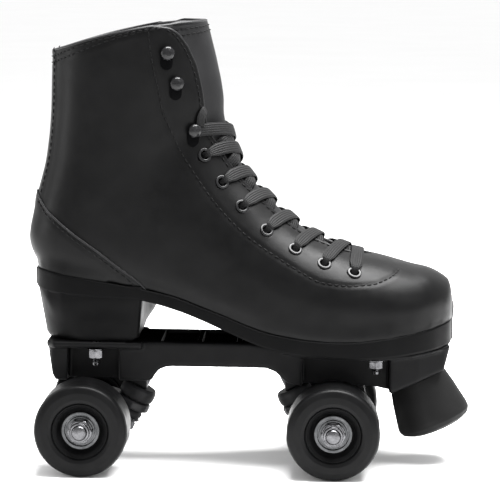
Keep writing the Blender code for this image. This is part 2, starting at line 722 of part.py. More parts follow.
def make_truck(end):
    outward = 1 if end == "front" else -1
    x = outward * AXLE_X
    axis = truck_axis(end)
    z = WHEEL_RADIUS
    hanger = cylinder(f"hanger_{end}", BARREL_RADIUS, place(x, -BARREL_HALF, z),
                      place(x, BARREL_HALF, z), 16, HANGER_METAL, bevel=0.8)
    ball = pivot_point(end)
    stem_start = ball - axis * STEM_LENGTH * MM
    joins = [
        cylinder(f"{end}_barrel_neck", BARREL_NECK[0], place(x, -BARREL_NECK[1], z),
                 place(x, BARREL_NECK[1], z), 16),
        centred_slab(f"{end}_hanger_arm", arm_sections(end), corner=1.0),
        cylinder(f"{end}_hanger_ring", HANGER_RING[2], on_kingpin(end, HANGER_RING[1]),
                 on_kingpin(end, HANGER_RING[0]), 20, bevel=0.6),
        cylinder(f"{end}_hanger_stem", 3.9, stem_start, ball, 12),
        turned(f"{end}_pivot_ball", ((0.0, 4.6), (2.3, 4.0), (4.0, 2.3), (4.6, 0.0), (4.0, -2.3),
                                     (2.3, -4.0), (0.0, -4.6)), 12, ball, axis),
    ]
    bores = [
        cylinder(f"{end}_ring_bore", RING_BORE, on_kingpin(end, 18.0), on_kingpin(end, 6.0), 16),
        cylinder(f"{end}_axle_bore", RUNNING_BORE, place(x, -60.0, z), place(x, 60.0, z), 14),
    ]
    boolean(hanger, "UNION", joins)
    boolean(hanger, "DIFFERENCE", bores)
    pieces = [hanger]
    pieces.append(cylinder(f"axle_{end}", AXLE_RADIUS, place(x, -AXLE_HALF, z),
                           place(x, AXLE_HALF, z), 14, ZINC, bevel=0.7))
    for side, sign in SIDES.items():
        inner = WHEEL_Y + BEARING_OUTSET + BEARING_WIDTH / 2 + 0.5
        pieces.append(hex_nut(f"axle_nut_{end}_{side}", 5.1, AXLE_NUT_RADIUS,
                              place(x, sign * inner, z),
                              place(x, sign * (inner + AXLE_NUT_WIDTH), z), ZINC))
        pieces += make_wheel(end, side, x, sign)
    pivot = bpy.data.objects.new(f"truck_pivot_{end}", None)
    SKATE.objects.link(pivot)
    pivot.location = ring_centre(end)
    parent_to(pivot, pieces)


def make_wheel(end, side, x, sign):
    half = WHEEL_WIDTH / 2
    rim = WHEEL_RADIUS / cos(pi / WHEEL_FACETS)
    seat = BEARING_OUTSET + BEARING_WIDTH / 2 + 0.3
    ledge = BEARING_OUTSET - BEARING_WIDTH / 2 - 0.3
    outer = ((rim - 3.0, half), (rim - 0.9, half - 0.9), (rim, half - 3.0))
    dish = ((12.3, seat), (17.5, half))
    bore = ((11.35, -seat), (11.35, -ledge), (9.0, -ledge), (9.0, ledge), (11.35, ledge), (11.35, seat))
    profile = list(outer)
    profile += [(radius, -height) for radius, height in reversed(outer)]
    profile += [(radius, -height) for radius, height in reversed(dish)]
    profile += list(bore) + list(dish)
    centre = place(x, sign * WHEEL_Y, WHEEL_RADIUS)
    axis = Vector((0.0, sign, 0.0))
    name = f"wheel_{end}_{side}"
    pieces = [turned(name, profile, WHEEL_FACETS, centre, axis, WHEEL_URETHANE, half_turn=True)]
    for label, outset in (("outer", BEARING_OUTSET), ("inner", -BEARING_OUTSET)):
        near = place(x, sign * (WHEEL_Y + outset - BEARING_WIDTH / 2), WHEEL_RADIUS)
        far = place(x, sign * (WHEEL_Y + outset + BEARING_WIDTH / 2), WHEEL_RADIUS)
        pieces.append(tube(f"bearing_{label}_{end}_{side}", RUNNING_BORE, BEARING_RADIUS, near, far, 12,
                           BEARING_STEEL))
    return pieces


clear_scene()
SKATE = new_collection("quad_roller_skate")
HELPERS = new_collection("cutters")
HELPERS.hide_render = True
LEATHER = new_material("black_leather", (0.012, 0.012, 0.013), 0.42)
TONGUE_LEATHER = new_material("tongue_leather", (0.013, 0.013, 0.014), 0.48)
INSOLE_FOAM = new_material("insole_foam", (0.02, 0.02, 0.02), 0.9)
SOLE_RUBBER = new_material("sole_rubber", (0.010, 0.010, 0.011), 0.5)
PLATE_NYLON = new_material("plate_nylon", (0.010, 0.010, 0.011), 0.45)
LACE_CLOTH = new_material("lace_cloth", (0.010, 0.010, 0.010), 0.85)
BLACK_METAL = new_material("black_metal", (0.02, 0.02, 0.022), 0.25, 1.0)
HANGER_METAL = new_material("hanger_metal", (0.03, 0.03, 0.032), 0.4, 0.8)
ZINC = new_material("zinc_steel", (0.62, 0.63, 0.65), 0.3, 1.0)
BEARING_STEEL = new_material("bearing_steel", (0.55, 0.56, 0.58), 0.25, 1.0)
CUSHION_RUBBER = new_material("cushion_rubber", (0.012, 0.012, 0.012), 0.6)
STOP_RUBBER = new_material("toe_stop_rubber", (0.012, 0.012, 0.012), 0.6)
WHEEL_URETHANE = new_material("wheel_urethane", (0.014, 0.014, 0.015), 0.4)

make_upper()
make_tongue()
make_insole()
make_sole()
make_lace()
make_hooks()
make_plate()
make_mounting_bolts()
make_toe_stop()
for truck_end in ("rear", "front"):
    make_stack(truck_end)
    make_truck(truck_end)
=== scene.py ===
"""The looks of a right-foot quad roller skate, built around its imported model.

Sizes are in millimetres, with x from the middle of the wheelbase towards the toe, y towards the
wearer's left and z up from the floor. The model's own origin is MIDDLE_X further forward.
"""

from contextlib import contextmanager
from math import asin, cos, pi, radians, sin, tan

import bmesh
import bpy
import numpy as np
from mathutils import Matrix, Quaternion, Vector, noise
from mathutils.bvhtree import BVHTree
from mathutils.kdtree import KDTree


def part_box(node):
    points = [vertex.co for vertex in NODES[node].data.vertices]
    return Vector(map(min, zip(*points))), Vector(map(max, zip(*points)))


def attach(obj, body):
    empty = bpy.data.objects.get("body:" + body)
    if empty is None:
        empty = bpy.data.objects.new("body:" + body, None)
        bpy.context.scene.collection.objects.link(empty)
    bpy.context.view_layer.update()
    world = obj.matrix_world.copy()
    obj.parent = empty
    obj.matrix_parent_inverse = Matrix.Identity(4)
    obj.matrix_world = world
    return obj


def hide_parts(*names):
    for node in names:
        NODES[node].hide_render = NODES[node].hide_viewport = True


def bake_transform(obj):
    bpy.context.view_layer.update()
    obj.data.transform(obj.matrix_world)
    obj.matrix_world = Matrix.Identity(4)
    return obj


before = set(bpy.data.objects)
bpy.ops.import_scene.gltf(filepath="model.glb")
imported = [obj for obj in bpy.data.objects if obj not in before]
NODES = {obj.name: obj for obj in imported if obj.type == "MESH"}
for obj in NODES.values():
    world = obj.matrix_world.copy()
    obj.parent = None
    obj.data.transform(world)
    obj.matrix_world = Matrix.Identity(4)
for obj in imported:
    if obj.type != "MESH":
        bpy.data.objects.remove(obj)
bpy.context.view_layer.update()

MM = 0.001
WELD = 0.00001
MIDDLE_X = 22.7
SIDES = {"lateral": -1, "medial": 1}
ENDS = {"rear": -1, "front": 1}

# ---------------------------------------------------------------- the boot's shape
# Front or top point, sole or back point, half-width, sideways shift, height of the widest line as
# a share of the section, and how square the section is above and below that line
BOOT = (
    ((142.9, 95.5), (141.9, 84.4), 9.5, 6.5, 0.50, 2.2, 3.0),
    ((141.2, 106.0), (139.6, 82.4), 17.5, 6.2, 0.46, 2.2, 3.6),
    ((137.8, 110.4), (134.6, 80.6), 24.5, 5.6, 0.44, 2.2, 4.5),
    ((128.8, 115.1), (126.0, 78.6), 33.0, 4.3, 0.42, 2.2, 5.5),
    ((116.9, 117.9), (114.0, 76.4), 39.3, 2.7, 0.40, 2.2, 6.5),
    ((99.1, 123.0), (96.0, 74.6), 44.0, 1.2, 0.38, 2.2, 7.0),
    ((80.0, 127.2), (75.0, 73.8), 45.8, 0.2, 0.38, 2.2, 7.0),
    ((57.4, 136.2), (51.0, 75.6), 44.0, -0.7, 0.38, 2.2, 7.0),
    ((42.5, 147.4), (28.0, 80.8), 40.6, -1.0, 0.38, 2.1, 7.0),
    ((28.7, 160.9), (3.0, 89.6), 37.2, -0.8, 0.40, 2.1, 6.5),
    ((18.6, 172.7), (-24.0, 99.0), 35.4, -0.4, 0.42, 2.1, 6.0),
    ((12.6, 184.5), (-58.0, 106.6), 34.6, 0.0, 0.44, 2.1, 5.0),
    ((8.6, 196.3), (-93.0, 110.6), 34.0, 0.0, 0.46, 2.1, 3.2),
    ((6.0, 206.0), (-107.6, 127.0), 34.0, 0.0, 0.48, 2.1, 2.3),
    ((5.4, 216.0), (-105.5, 150.0), 34.4, 0.0, 0.50, 2.1, 2.1),
    ((4.2, 225.0), (-98.9, 176.0), 35.2, 0.0, 0.50, 2.1, 2.1),
    ((2.4, 233.6), (-95.8, 200.0), 36.2, 0.0, 0.50, 2.1, 2.1),
    ((-0.2, 246.0), (-94.8, 222.0), 37.2, 0.0, 0.50, 2.1, 2.1),
    ((-4.5, 260.8), (-94.6, 242.3), 38.0, 0.0, 0.50, 2.1, 2.1),
)
SECTIONS = np.array([(*top, *sole, *rest) for top, sole, *rest in BOOT])
LAST_SECTION = len(BOOT) - 1
RIM_CROWN = 3.0
UPPER_THICK = 2.4
THROAT_START = 5.25
THROAT = ((5.25, 0.0), (5.6, 7.5), (6.2, 10.0), (8.0, 12.5), (10.0, 14.5), (12.0, 17.0),
          (14.0, 20.5), (16.0, 23.0), (18.0, 27.0))
# How much wider the throat is near the collar, where the facings' corners are rounded
FACING_CORNER = ((16.5, 0.0), (17.2, 1.2), (17.6, 3.2), (17.85, 5.6), (18.0, 9.0))
TONGUE_LAP = 9.0
TONGUE_START = 4.9
TONGUE_THICK = 3.0
INSOLE_SHARE = 0.82
INSOLE_THICK = 2.0
EYELETS = ((83.7, 116.8), (66.2, 122.0), (49.3, 130.0), (32.7, 140.7), (18.1, 154.0),
           (6.3, 167.8), (-4.1, 183.3))
HOOKS = ((-10.9, 197.6), (-20.7, 225.2), (-25.9, 242.6))

# Sole unit: x, half-width, sideways shift, bottom z, top z
SOLE = np.array((
    (-104.0, 9.0, 0.0, 104.6, 114.6),
    (-101.2, 17.5, 0.0, 103.2, 114.7),
    (-96.0, 24.0, 0.0, 102.0, 114.3),
    (-87.0, 29.6, 0.0, 101.3, 112.7),
    (-72.0, 32.6, 0.0, 100.4, 110.6),
    (-52.6, 33.6, 0.0, 99.4, 107.7),
    (-38.5, 34.0, 0.0, 98.5, 105.2),
    (-20.1, 34.6, -0.3, 93.7, 101.0),
    (-5.5, 35.2, -0.6, 88.3, 95.6),
    (7.9, 36.6, -0.8, 82.6, 90.8),
    (23.6, 39.6, -1.0, 76.2, 84.9),
    (35.3, 42.0, -1.0, 72.6, 81.5),
    (52.8, 45.2, -0.8, 69.4, 78.8),
    (70.0, 46.6, -0.2, 68.4, 77.6),
    (87.6, 46.6, 0.5, 67.6, 77.9),
    (104.7, 43.6, 1.8, 68.3, 79.7),
    (118.0, 38.6, 3.2, 69.4, 81.4),
    (129.0, 31.9, 4.6, 70.6, 83.2),
    (136.0, 24.2, 5.6, 71.5, 84.8),
    (140.3, 17.0, 6.2, 72.2, 86.0),
    (142.2, 8.6, 6.5, 73.4, 86.6),
))
SOLE_ROUND = 0.9
SOLE_REAR = SOLE[0, 0] - SOLE_ROUND
# Heel block: z, rear x, front x, half-width
HEEL = ((73.9, -97.6, -44.6, 27.6), (75.9, -99.0, -42.0, 28.4), (107.0, -104.2, -38.6, 32.2))
HEEL_ROUND = 26.0
HEEL_CORNER = 3.0
BREAST_WEDGE = 5.0

# Trucks, down each kingpin from the plate
KINGPIN_LEAN = radians(26)
KINGPIN_FOOT = {"rear": (-42.4, 43.2), "front": (47.6, 43.2)}
PIVOT = {"rear": (-88.0, 41.0), "front": (87.0, 41.0)}
RING_MIDDLE = 11.9
AXLE_X = 72.6
WHEEL_RADIUS = 27.0
BEARING_OUTSET = 8.2
WHEEL_Y = 49.5
AXLE_RADIUS = 4.0
AXLE_HALF = 70.0
PIN_RADIUS = 4.0
CUSHION_BORE = 4.6
NUT_FLATS = 6.3
STOP_TOP = (121.8, 50.6)
STOP_LEAN = radians(23)


def place(x, y, z):
    """One point of the design's frame in the model's frame."""
    return Vector((x - MIDDLE_X, y, z)) * MM


def design(points):
    """Millimetres in the design's frame as metres in the model's frame."""
    return (np.asarray(points, float) - (MIDDLE_X, 0.0, 0.0)) * MM


# ---------------------------------------------------------------- shape building
def linked(name, data):
    """A new object in the scene."""
    piece = bpy.data.objects.new(name, data)
    bpy.context.scene.collection.objects.link(piece)
    return piece


@contextmanager
def editing(mesh):
    """The mesh's points and faces for an edit, written back at its end."""
    bm = bmesh.new()
    bm.from_mesh(mesh)
    yield bm
    bm.to_mesh(mesh)
    bm.free()


def orient(piece):
    """Turns a closed piece's faces outwards."""
    with editing(piece.data) as bm:
        bmesh.ops.recalc_face_normals(bm, faces=bm.faces)


def thicken(piece, thickness, offset=-1.0, back=1):
    """Gives a skin its thickness, inwards by default, with its back in the second material."""
    solidify = piece.modifiers.new("thickness", "SOLIDIFY")
    solidify.thickness = thickness * MM
    solidify.offset = offset
    solidify.material_offset = back
    solidify.material_offset_rim = 0


class Shape:
    """Points, faces and uv coordinates of one object, gathered grid by grid."""

    def __init__(self):
        self.points = []
        self.faces = []
        self.uvs = []
        self.slots = []

    def grid(self, rows, wrap_rows=False, wrap_columns=False, flip=False, uvs=None, slot=0):
        """Quads over rows of points, all of the same count."""
        rows = np.asarray(rows, float)
        count, width = rows.shape[:2]
        base = len(self.points)
        self.points.extend(map(tuple, rows.reshape(-1, 3)))
        flat = np.zeros((count * width, 2)) if uvs is None else np.asarray(uvs, float).reshape(-1, 2)
        for i in range(count if wrap_rows else count - 1):
            here, above = i * width, (i + 1) % count * width
            for j in range(width if wrap_columns else width - 1):
                beside = (j + 1) % width
                ring = (here + j, above + j, above + beside, here + beside)
                self.face([base + k for k in ring], [flat[k] for k in ring], flip, slot)
        return base

    def face(self, ring, uvs, flip, slot):
        """One face, turned over if flip is set."""
        way = -1 if flip else 1
        self.faces.append(tuple(ring[::way]))
        self.uvs.extend(uvs[::way])
        self.slots.append(slot)

    def cap(self, start, count, flip=False, slot=0):
        """One flat face over a ring of points."""
        self.face(range(start, start + count), [(0.0, 0.0)] * count, flip, slot)

    def tube(self, rings, uvs=None, slot=0):
        """Rings joined into a closed solid, with a flat cap at both ends."""
        width = len(rings[0])
        base = self.grid(rings, wrap_columns=True, uvs=uvs, slot=slot)
        self.cap(base, width, slot=slot)
        self.cap(base + (len(rings) - 1) * width, width, flip=True, slot=slot)

    def build(self, name, *materials, sharp=40, weld=0.0):
        """The finished object. Its points are in metres already."""
        mesh = bpy.data.meshes.new(name)
        mesh.from_pydata(self.points, [], self.faces)
        layer = mesh.uv_layers.new(name="UVMap")
        layer.data.foreach_set("uv", np.array(self.uvs, np.float32).reshape(-1))
        mesh.polygons.foreach_set("material_index", self.slots)
        for material in materials:
            mesh.materials.append(material)
        if weld:
            with editing(mesh) as bm:
                bmesh.ops.remove_doubles(bm, verts=bm.verts, dist=weld)
        mesh.shade_smooth()
        mesh.set_sharp_from_angle(angle=radians(sharp))
        return linked(name, mesh)


def rides(piece, body, slot, *replaced):
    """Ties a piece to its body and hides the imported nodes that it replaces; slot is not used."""
    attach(piece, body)
    if replaced:
        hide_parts(*replaced)
    return piece


def unit(vectors):
    """Vectors scaled to a length of 1."""
    return vectors / np.maximum(np.linalg.norm(vectors, axis=-1, keepdims=True), 1e-12)


def running(points):
    """The distance along a line of points, at each of them."""
    return np.concatenate([[0.0], np.cumsum(np.linalg.norm(np.diff(points, axis=0), axis=1))])


def add_sweep(shape, path, normals, profile, scale=None, slot=0):
    """A solid along a path, with one normal for all of it or one for each point. profile holds
    (across, up) points, and scale widens it along the way."""
    path = np.asarray(path, float)
    ahead = unit(np.gradient(path, axis=0))
    across = unit(np.cross(unit(np.asarray(normals, float)), ahead))
    up = np.cross(ahead, across)
    if scale is None:
        scale = np.ones((len(path), 2))
    profile = np.asarray(profile, float) * MM
    rows = (
        path[:, None, :]
        + across[:, None, :] * (profile[None, :, 0] * scale[:, 0, None])[:, :, None]
        + up[:, None, :] * (profile[None, :, 1] * scale[:, 1, None])[:, :, None]
    )
    uvs = np.stack(np.broadcast_arrays(running(path)[:, None], profile[None, :, 0]), axis=-1)
    shape.tube(rows, uvs=uvs, slot=slot)


def ellipse(half_width, half_height, count):
    """A round profile, turned so that a sweep's faces look outwards."""
    return [(half_width * cos(2 * pi * k / count), half_height * sin(2 * pi * k / count))
            for k in range(count)]


def rounded(profile, steps=5, closed=True):
    """A profile's corners (radius, height, fillet) as short curves."""
    corners = [np.array(point[:2], float) for point in profile]
    fillets = [point[2] if len(point) > 2 else 0.0 for point in profile]
    out = []
    for index, (corner, fillet) in enumerate(zip(corners, fillets)):
        ends = not closed and index in (0, len(corners) - 1)
        if ends or fillet <= 0:
            out.append(corner)
            continue
        before = corners[index - 1] - corner
        after = corners[(index + 1) % len(corners)] - corner
        near, far = np.linalg.norm(before), np.linalg.norm(after)
        cosine = np.clip(np.dot(before, after) / (near * far), -0.999, 0.999)
        trim = min(fillet / tan(np.arccos(cosine) / 2), 0.48 * near, 0.48 * far)
        start = corner + before / near * trim
        end = corner + after / far * trim
        for k in range(steps + 1):
            t = k / steps
            out.append(start * (1 - t) ** 2 + corner * 2 * t * (1 - t) + end * t * t)
    return out


def add_turned(shape, profile, centre, axis, steps=64, closed=True, shape_radius=None):
    """A turned solid about an axis: its profile (radius, height) in millimetres starts and ends on
    the axis, or is closed round a bore. shape_radius may hold each ring's radius to an outline."""
    turn = Vector((0, 0, 1)).rotation_difference(Vector(axis))
    matrix = np.array(turn.to_matrix())
    angles = np.arange(steps) * 2 * pi / steps
    rows = []
    for radius, height in profile:
        radii = np.full(steps, float(radius))
        if shape_radius is not None:
            radii = np.minimum(radii, shape_radius(angles)) if radius > 0 else radii
        ring = np.stack([radii * np.cos(angles), radii * np.sin(angles), np.full(steps, height)], axis=1)
        rows.append(ring @ matrix.T * MM + np.array(centre))
    shape.grid(rows, wrap_rows=closed, wrap_columns=True)


def hexagon(flats):
    """The outline of a hexagon, by its half-distance between flats."""
    def radius(angles):
        within = (angles % (pi / 3)) - pi / 6
        return flats / np.cos(within)
    return radius


def add_nut(shape, flats, height, bore, centre, axis):
    """A six-sided nut, its corners cut by a cone at both faces."""
    corner = flats / cos(pi / 6)
    run = corner - flats * 0.97
    rise = run * tan(radians(30))
    profile = [(bore, 0.3), (bore + 0.35, 0.0)]
    profile += [(flats * 0.97 + run * k / 4, rise * k / 4) for k in range(5)]
    profile += [(corner + 0.01, height - rise - 0.2)]
    profile += [(flats * 0.97 + run * (4 - k) / 4, height - rise * (4 - k) / 4) for k in range(5)]
    profile += [(bore + 0.35, height), (bore, height - 0.3)]
    add_turned(shape, profile[::-1], centre, axis, steps=72, shape_radius=hexagon(flats))


def thread_profile(radius, start, end, pitch=1.0, depth=0.35):
    """The outer side of a threaded stretch, from its end down to its start."""
    turns = int((end - start) / pitch)
    points = []
    for k in range(turns):
        high = end - k * pitch
        points += [(radius - depth, high), (radius, high - pitch * 0.5)]
    return points


# ---------------------------------------------------------------- materials
def new_node(tree, kind, **settings):
    """A shader node with its inputs, or else its own settings, set by name."""
    node = tree.nodes.new(kind)
    for name, value in settings.items():
        if name in node.inputs:
            node.inputs[name].default_value = value
        else:
            setattr(node, name, value)
    return node


def surface(name, tones, tone_scale, rough, bumps, specular=0.5, metallic=0.0):
    """A procedural finish: two tones mixed by noise, uneven roughness and layers of bump.

    A tone is (grey, blue) or (red, green, blue). Each bump is (kind, scale, strength, depth in millimetres),
    with kind noise, cells, ribs or weave."""
    material = bpy.data.materials.new(name)
    material.use_nodes = True
    tree = material.node_tree
    link = tree.links.new
    shader = tree.nodes["Principled BSDF"].inputs
    shader["Metallic"].default_value = metallic
    shader["Specular IOR Level"].default_value = specular
    coords = tree.nodes.new("ShaderNodeTexCoord").outputs
    mottle = new_node(tree, "ShaderNodeTexNoise", Scale=tone_scale, Detail=6.0, Roughness=0.6)
    ramp = tree.nodes.new("ShaderNodeValToRGB")
    for stop, position, (red, *green, blue) in zip(ramp.color_ramp.elements, (0.32, 0.68), tones):
        stop.position = position
        stop.color = (red, *(green or [red]), blue, 1.0)
    link(coords["Object"], mottle.inputs["Vector"])
    link(mottle.outputs["Fac"], ramp.inputs["Fac"])
    link(ramp.outputs["Color"], shader["Base Color"])
    scuff = new_node(tree, "ShaderNodeTexNoise", Scale=tone_scale * 2.7, Detail=4.0)
    span = tree.nodes.new("ShaderNodeMapRange")
    for key, value in zip(("From Min", "From Max", "To Min", "To Max"), (0.3, 0.7, *rough)):
        span.inputs[key].default_value = value
    link(coords["Object"], scuff.inputs["Vector"])
    link(scuff.outputs["Fac"], span.inputs["Value"])
    link(span.outputs["Result"], shader["Roughness"])
    normal = None
    for kind, scale, strength, depth in bumps:
        if kind == "noise":
            pattern = new_node(tree, "ShaderNodeTexNoise", Scale=scale, Detail=3.0)
        elif kind == "cells":
            pattern = new_node(tree, "ShaderNodeTexVoronoi", feature="DISTANCE_TO_EDGE", Scale=scale)
        else:
            pattern = new_node(tree, "ShaderNodeTexWave", Scale=scale, Distortion=0.3,
                               bands_direction="Y" if kind == "ribs" else "DIAGONAL")
        link(coords["UV" if kind in ("ribs", "weave") else "Object"], pattern.inputs["Vector"])
        bump = new_node(tree, "ShaderNodeBump", Strength=strength, Distance=depth * MM)
        link(pattern.outputs["Distance" if kind == "cells" else "Fac"], bump.inputs["Height"])
        if normal is not None:
            link(normal, bump.inputs["Normal"])
        normal = bump.outputs["Normal"]
    link(normal, shader["Normal"])
    return material


LEATHER = surface("black_leather", ((0.0014, 0.0015), (0.0026, 0.0027)), 60, (0.32, 0.42),
                  (("cells", 900, 0.35, 0.10), ("noise", 240, 0.20, 0.15), ("noise", 2600, 0.25, 0.03)),
                  0.09)
TONGUE_LEATHER = surface("tongue_leather", ((0.005, 0.0054), (0.0085, 0.009)), 50, (0.44, 0.56),
                         (("cells", 800, 0.40, 0.12), ("noise", 200, 0.25, 0.25)), 0.15)
LINING = surface("lining_cloth", ((0.007, 0.0075), (0.014, 0.0145)), 220, (0.85, 0.95),
                 (("noise", 1600, 0.6, 0.25), ("cells", 700, 0.3, 0.15)), 0.1)
INSOLE = surface("insole_cloth", ((0.009, 0.0095), (0.018, 0.019)), 260, (0.85, 0.95),
                 (("cells", 1100, 0.6, 0.2), ("noise", 90, 0.3, 0.4)), 0.1)
EDGE = surface("edge_binding", ((0.004, 0.0044), (0.006, 0.0064)), 120, (0.36, 0.46),
               (("noise", 900, 0.25, 0.06),), 0.18)
THREAD = surface("bonded_thread", ((0.0012, 0.0012), (0.004, 0.0042)), 900, (0.50, 0.65),
                 (("noise", 4000, 0.5, 0.08),), 0.12)
LACE = surface("woven_lace", ((0.0035, 0.0036), (0.0065, 0.0068)), 500, (0.50, 0.64),
               (("ribs", 240, 0.7, 0.30), ("weave", 520, 0.35, 0.15), ("noise", 2400, 0.3, 0.08)), 0.12)
SOLE_RUBBER = surface("sole_rubber", ((0.0009, 0.001), (0.0018, 0.0019)), 45, (0.42, 0.54),
                      (("noise", 700, 0.22, 0.08), ("noise", 2600, 0.2, 0.03)), 0.045)
NYLON = surface("plate_nylon", ((0.0018, 0.002), (0.003, 0.0032)), 55, (0.38, 0.50),
                (("noise", 1500, 0.3, 0.05), ("noise", 160, 0.15, 0.12)), 0.07)
# Painted shade: a matte nylon with no reflection at all, worn by the plate's upward beam faces and the hook
# tabs so that they look dark as if shaded
DULL_SHADE_NYLON = surface("dull_nylon_painted_shade", ((0.0015, 0.0016), (0.003, 0.0032)), 90, (0.85, 0.95),
                     (("noise", 1500, 0.3, 0.05),), 0.0)
STOP_RUBBER = surface("stop_rubber", ((0.003, 0.003), (0.0055, 0.0055)), 70, (0.50, 0.62),
                      (("noise", 900, 0.35, 0.09), ("noise", 3200, 0.3, 0.04)), 0.11)
URETHANE = surface("cast_urethane", ((0.0012, 0.0013), (0.0024, 0.0026)), 60, (0.36, 0.48),
                   (("noise", 1100, 0.2, 0.05), ("noise", 120, 0.12, 0.1)), 0.09)
HUB_NYLON = surface("hub_nylon", ((0.0016, 0.0017), (0.0028, 0.003)), 80, (0.46, 0.58),
                    (("noise", 1500, 0.25, 0.05),), 0.07)
POWDER_COAT = surface("powder_coat", ((0.005, 0.0055), (0.008, 0.0088)), 90, (0.34, 0.46),
                      (("noise", 1700, 0.35, 0.06), ("noise", 260, 0.2, 0.12)), 0.20)
CUSHION = surface("cushion_rubber", ((0.004, 0.0045), (0.007, 0.0075)), 90, (0.5, 0.64),
                  (("noise", 1400, 0.3, 0.06),), 0.15)
BLACK_METAL = surface("black_lacquer", ((0.004, 0.0044), (0.007, 0.0075)), 200, (0.16, 0.26),
                      (("noise", 900, 0.1, 0.03),), 0.22)
ZINC = surface("zinc_steel", ((0.06, 0.063), (0.12, 0.125)), 300, (0.20, 0.34),
               (("noise", 1800, 0.25, 0.04),), metallic=1.0)
BEARING_STEEL = surface("bearing_steel", ((0.03, 0.031, 0.032), (0.06, 0.061, 0.063)), 240, (0.16, 0.28),
                        (("noise", 2600, 0.15, 0.02),), metallic=1.0)
FLOOR = surface("studio_paper", ((0.91, 0.91), (0.93, 0.93)), 3, (0.85, 0.95),
                (("noise", 300, 0.05, 0.1),), 0.1)


# ---------------------------------------------------------------- the boot's outer face
CURVE_STEPS = 12


def between(rows, at):
    """A value from rows of (place, value), straight between them."""
    return float(np.interp(at, [row[0] for row in rows], [row[1] for row in rows]))


def smooth_rows(table, at):
    """A table's rows at places given as row numbers, on a smooth curve through its rows."""
    at = np.asarray(at, float)
    last = len(table) - 1
    index = np.clip(at.astype(int), 0, last - 1)
    share = (at - index)[..., None]
    a, b, c, d = (table[np.clip(index + step, 0, last)] for step in (-1, 0, 1, 2))
    return 0.5 * (2 * b + (c - a) * share + (2 * a - 5 * b + 4 * c - d) * share**2
                  + (3 * b - a - 3 * c + d) * share**3)


def boot_sections(s):
    """The nine numbers of each section."""
    return smooth_rows(SECTIONS, s)


def boot_skin(s, turn):
    """Points of the outer face: turn is 0 at the top or front of the section, a quarter turn at
    the lateral side and half a turn at the sole or back."""
    s, turn = np.broadcast_arrays(np.asarray(s, float), np.asarray(turn, float))
    section = boot_sections(s)
    top_x, top_z, sole_x, sole_z, half, shift, widest, square_top, square_sole = np.moveaxis(section, -1, 0)
    up = np.cos(turn) >= 0
    power = 2 / np.where(up, square_top, square_sole)
    reach = np.abs(np.cos(turn)) ** power
    share = np.where(up, widest + (1 - widest) * reach, widest * (1 - reach))
    side = np.abs(np.sin(turn)) ** power * np.where(np.sin(turn) > 0, -1, 1)
    crown = RIM_CROWN * np.maximum(0.0, s - LAST_SECTION + 1) * np.sin(pi * share)
    return np.stack([
        sole_x + (top_x - sole_x) * share,
        shift + half * side,
        sole_z + (top_z - sole_z) * share + crown,
    ], axis=-1)


def boot_normal(s, turn, step=0.02):
    """The outward normals of the outer face."""
    back = np.maximum(np.asarray(s, float) - step, 0.0)
    ahead = np.minimum(np.asarray(s, float) + step, LAST_SECTION)
    along = boot_skin(ahead, turn) - boot_skin(back, turn)
    around = boot_skin(s, np.asarray(turn) + step) - boot_skin(s, np.asarray(turn) - step)
    return unit(np.cross(along, around))


def turn_at(s, y, sole=False):
    """The turn at which the section at s is y from its middle plane, near the top or the sole."""
    section = boot_sections(s)
    power = section[8 if sole else 7]
    angle = asin(min(abs(y) / section[4], 1.0) ** (power / 2))
    return pi - angle if sole else angle


def throat_turn(s):
    """The turn of the facing's edge in the section at s, or 0 below the throat."""
    if s <= THROAT_START:
        return 0.0
    return turn_at(s, between(THROAT, s) + between(FACING_CORNER, s))


def boot_spot(x, z, side):
    """The section and turn of the point of one side's face whose x and z are given."""
    s, turn = 9.0, 0.9
    for _ in range(30):
        here = boot_skin(s, turn)
        along = (boot_skin(s + 0.01, turn) - here) / 0.01
        around = (boot_skin(s, turn + 0.01) - here) / 0.01
        matrix = Matrix(((along[0], around[0]), (along[2], around[2])))
        move = matrix.inverted() @ Vector((x - here[0], z - here[2]))
        s = min(max(s + max(-0.5, min(0.5, move.x)), 0.1), LAST_SECTION - 0.1)
        turn = min(max(turn + max(-0.2, min(0.2, move.y)), 0.1), 1.5)
    return s, -turn * side


def resampled(points, spacing):
    """Points at even steps along a line through the given points."""
    points = np.asarray(points, float)
    run = running(points)
    count = max(int(round(run[-1] / spacing)), 1)
    at = np.linspace(0.0, run[-1], count + 1)
    return np.stack([np.interp(at, run, points[:, k]) for k in range(points.shape[1])], axis=1)


def curved(points, spacing):
    """Even steps along a smooth curve through the given points."""
    points = np.asarray(points, float)
    padded = np.vstack([2 * points[0] - points[1], points, 2 * points[-1] - points[-2]])
    steps = CURVE_STEPS * (len(points) - 1)
    return resampled(smooth_rows(padded, 1 + np.arange(steps + 1) / CURVE_STEPS), spacing)


# Samples of each quarter of a section, crowded towards its ends, where its corners are
WARP = np.linspace(0, 1, 260)[:-1]
WARP = WARP**4 / (WARP**4 + (1 - WARP) ** 4)
ROUND = np.concatenate([(quarter + WARP) * pi / 2 for quarter in range(4)] + [[2 * pi]])


def even_turns(s, first, last, count):
    """Turns that split the section's outline from first to last into equal lengths."""
    turns = np.concatenate([[first], ROUND[(ROUND > first) & (ROUND < last)], [last]])
    points = boot_skin(s, turns)
    run = running(points)
    return np.interp(np.linspace(0, run[-1], count), run, turns)


def even_sections(start, end, spacing):
    """Sections whose greatest step on the face is about the spacing."""
    dense = np.linspace(start, end, 1200)
    lines = [boot_skin(dense, turn) for turn in (0.0, 0.8, pi / 2, 2.4, pi)]
    step = np.max([np.linalg.norm(np.diff(line, axis=0), axis=1) for line in lines], axis=0)
    run = np.concatenate([[0.0], np.cumsum(step)])
    count = int(run[-1] / spacing) + 1
    return np.interp(np.linspace(0, run[-1], count), run, dense)


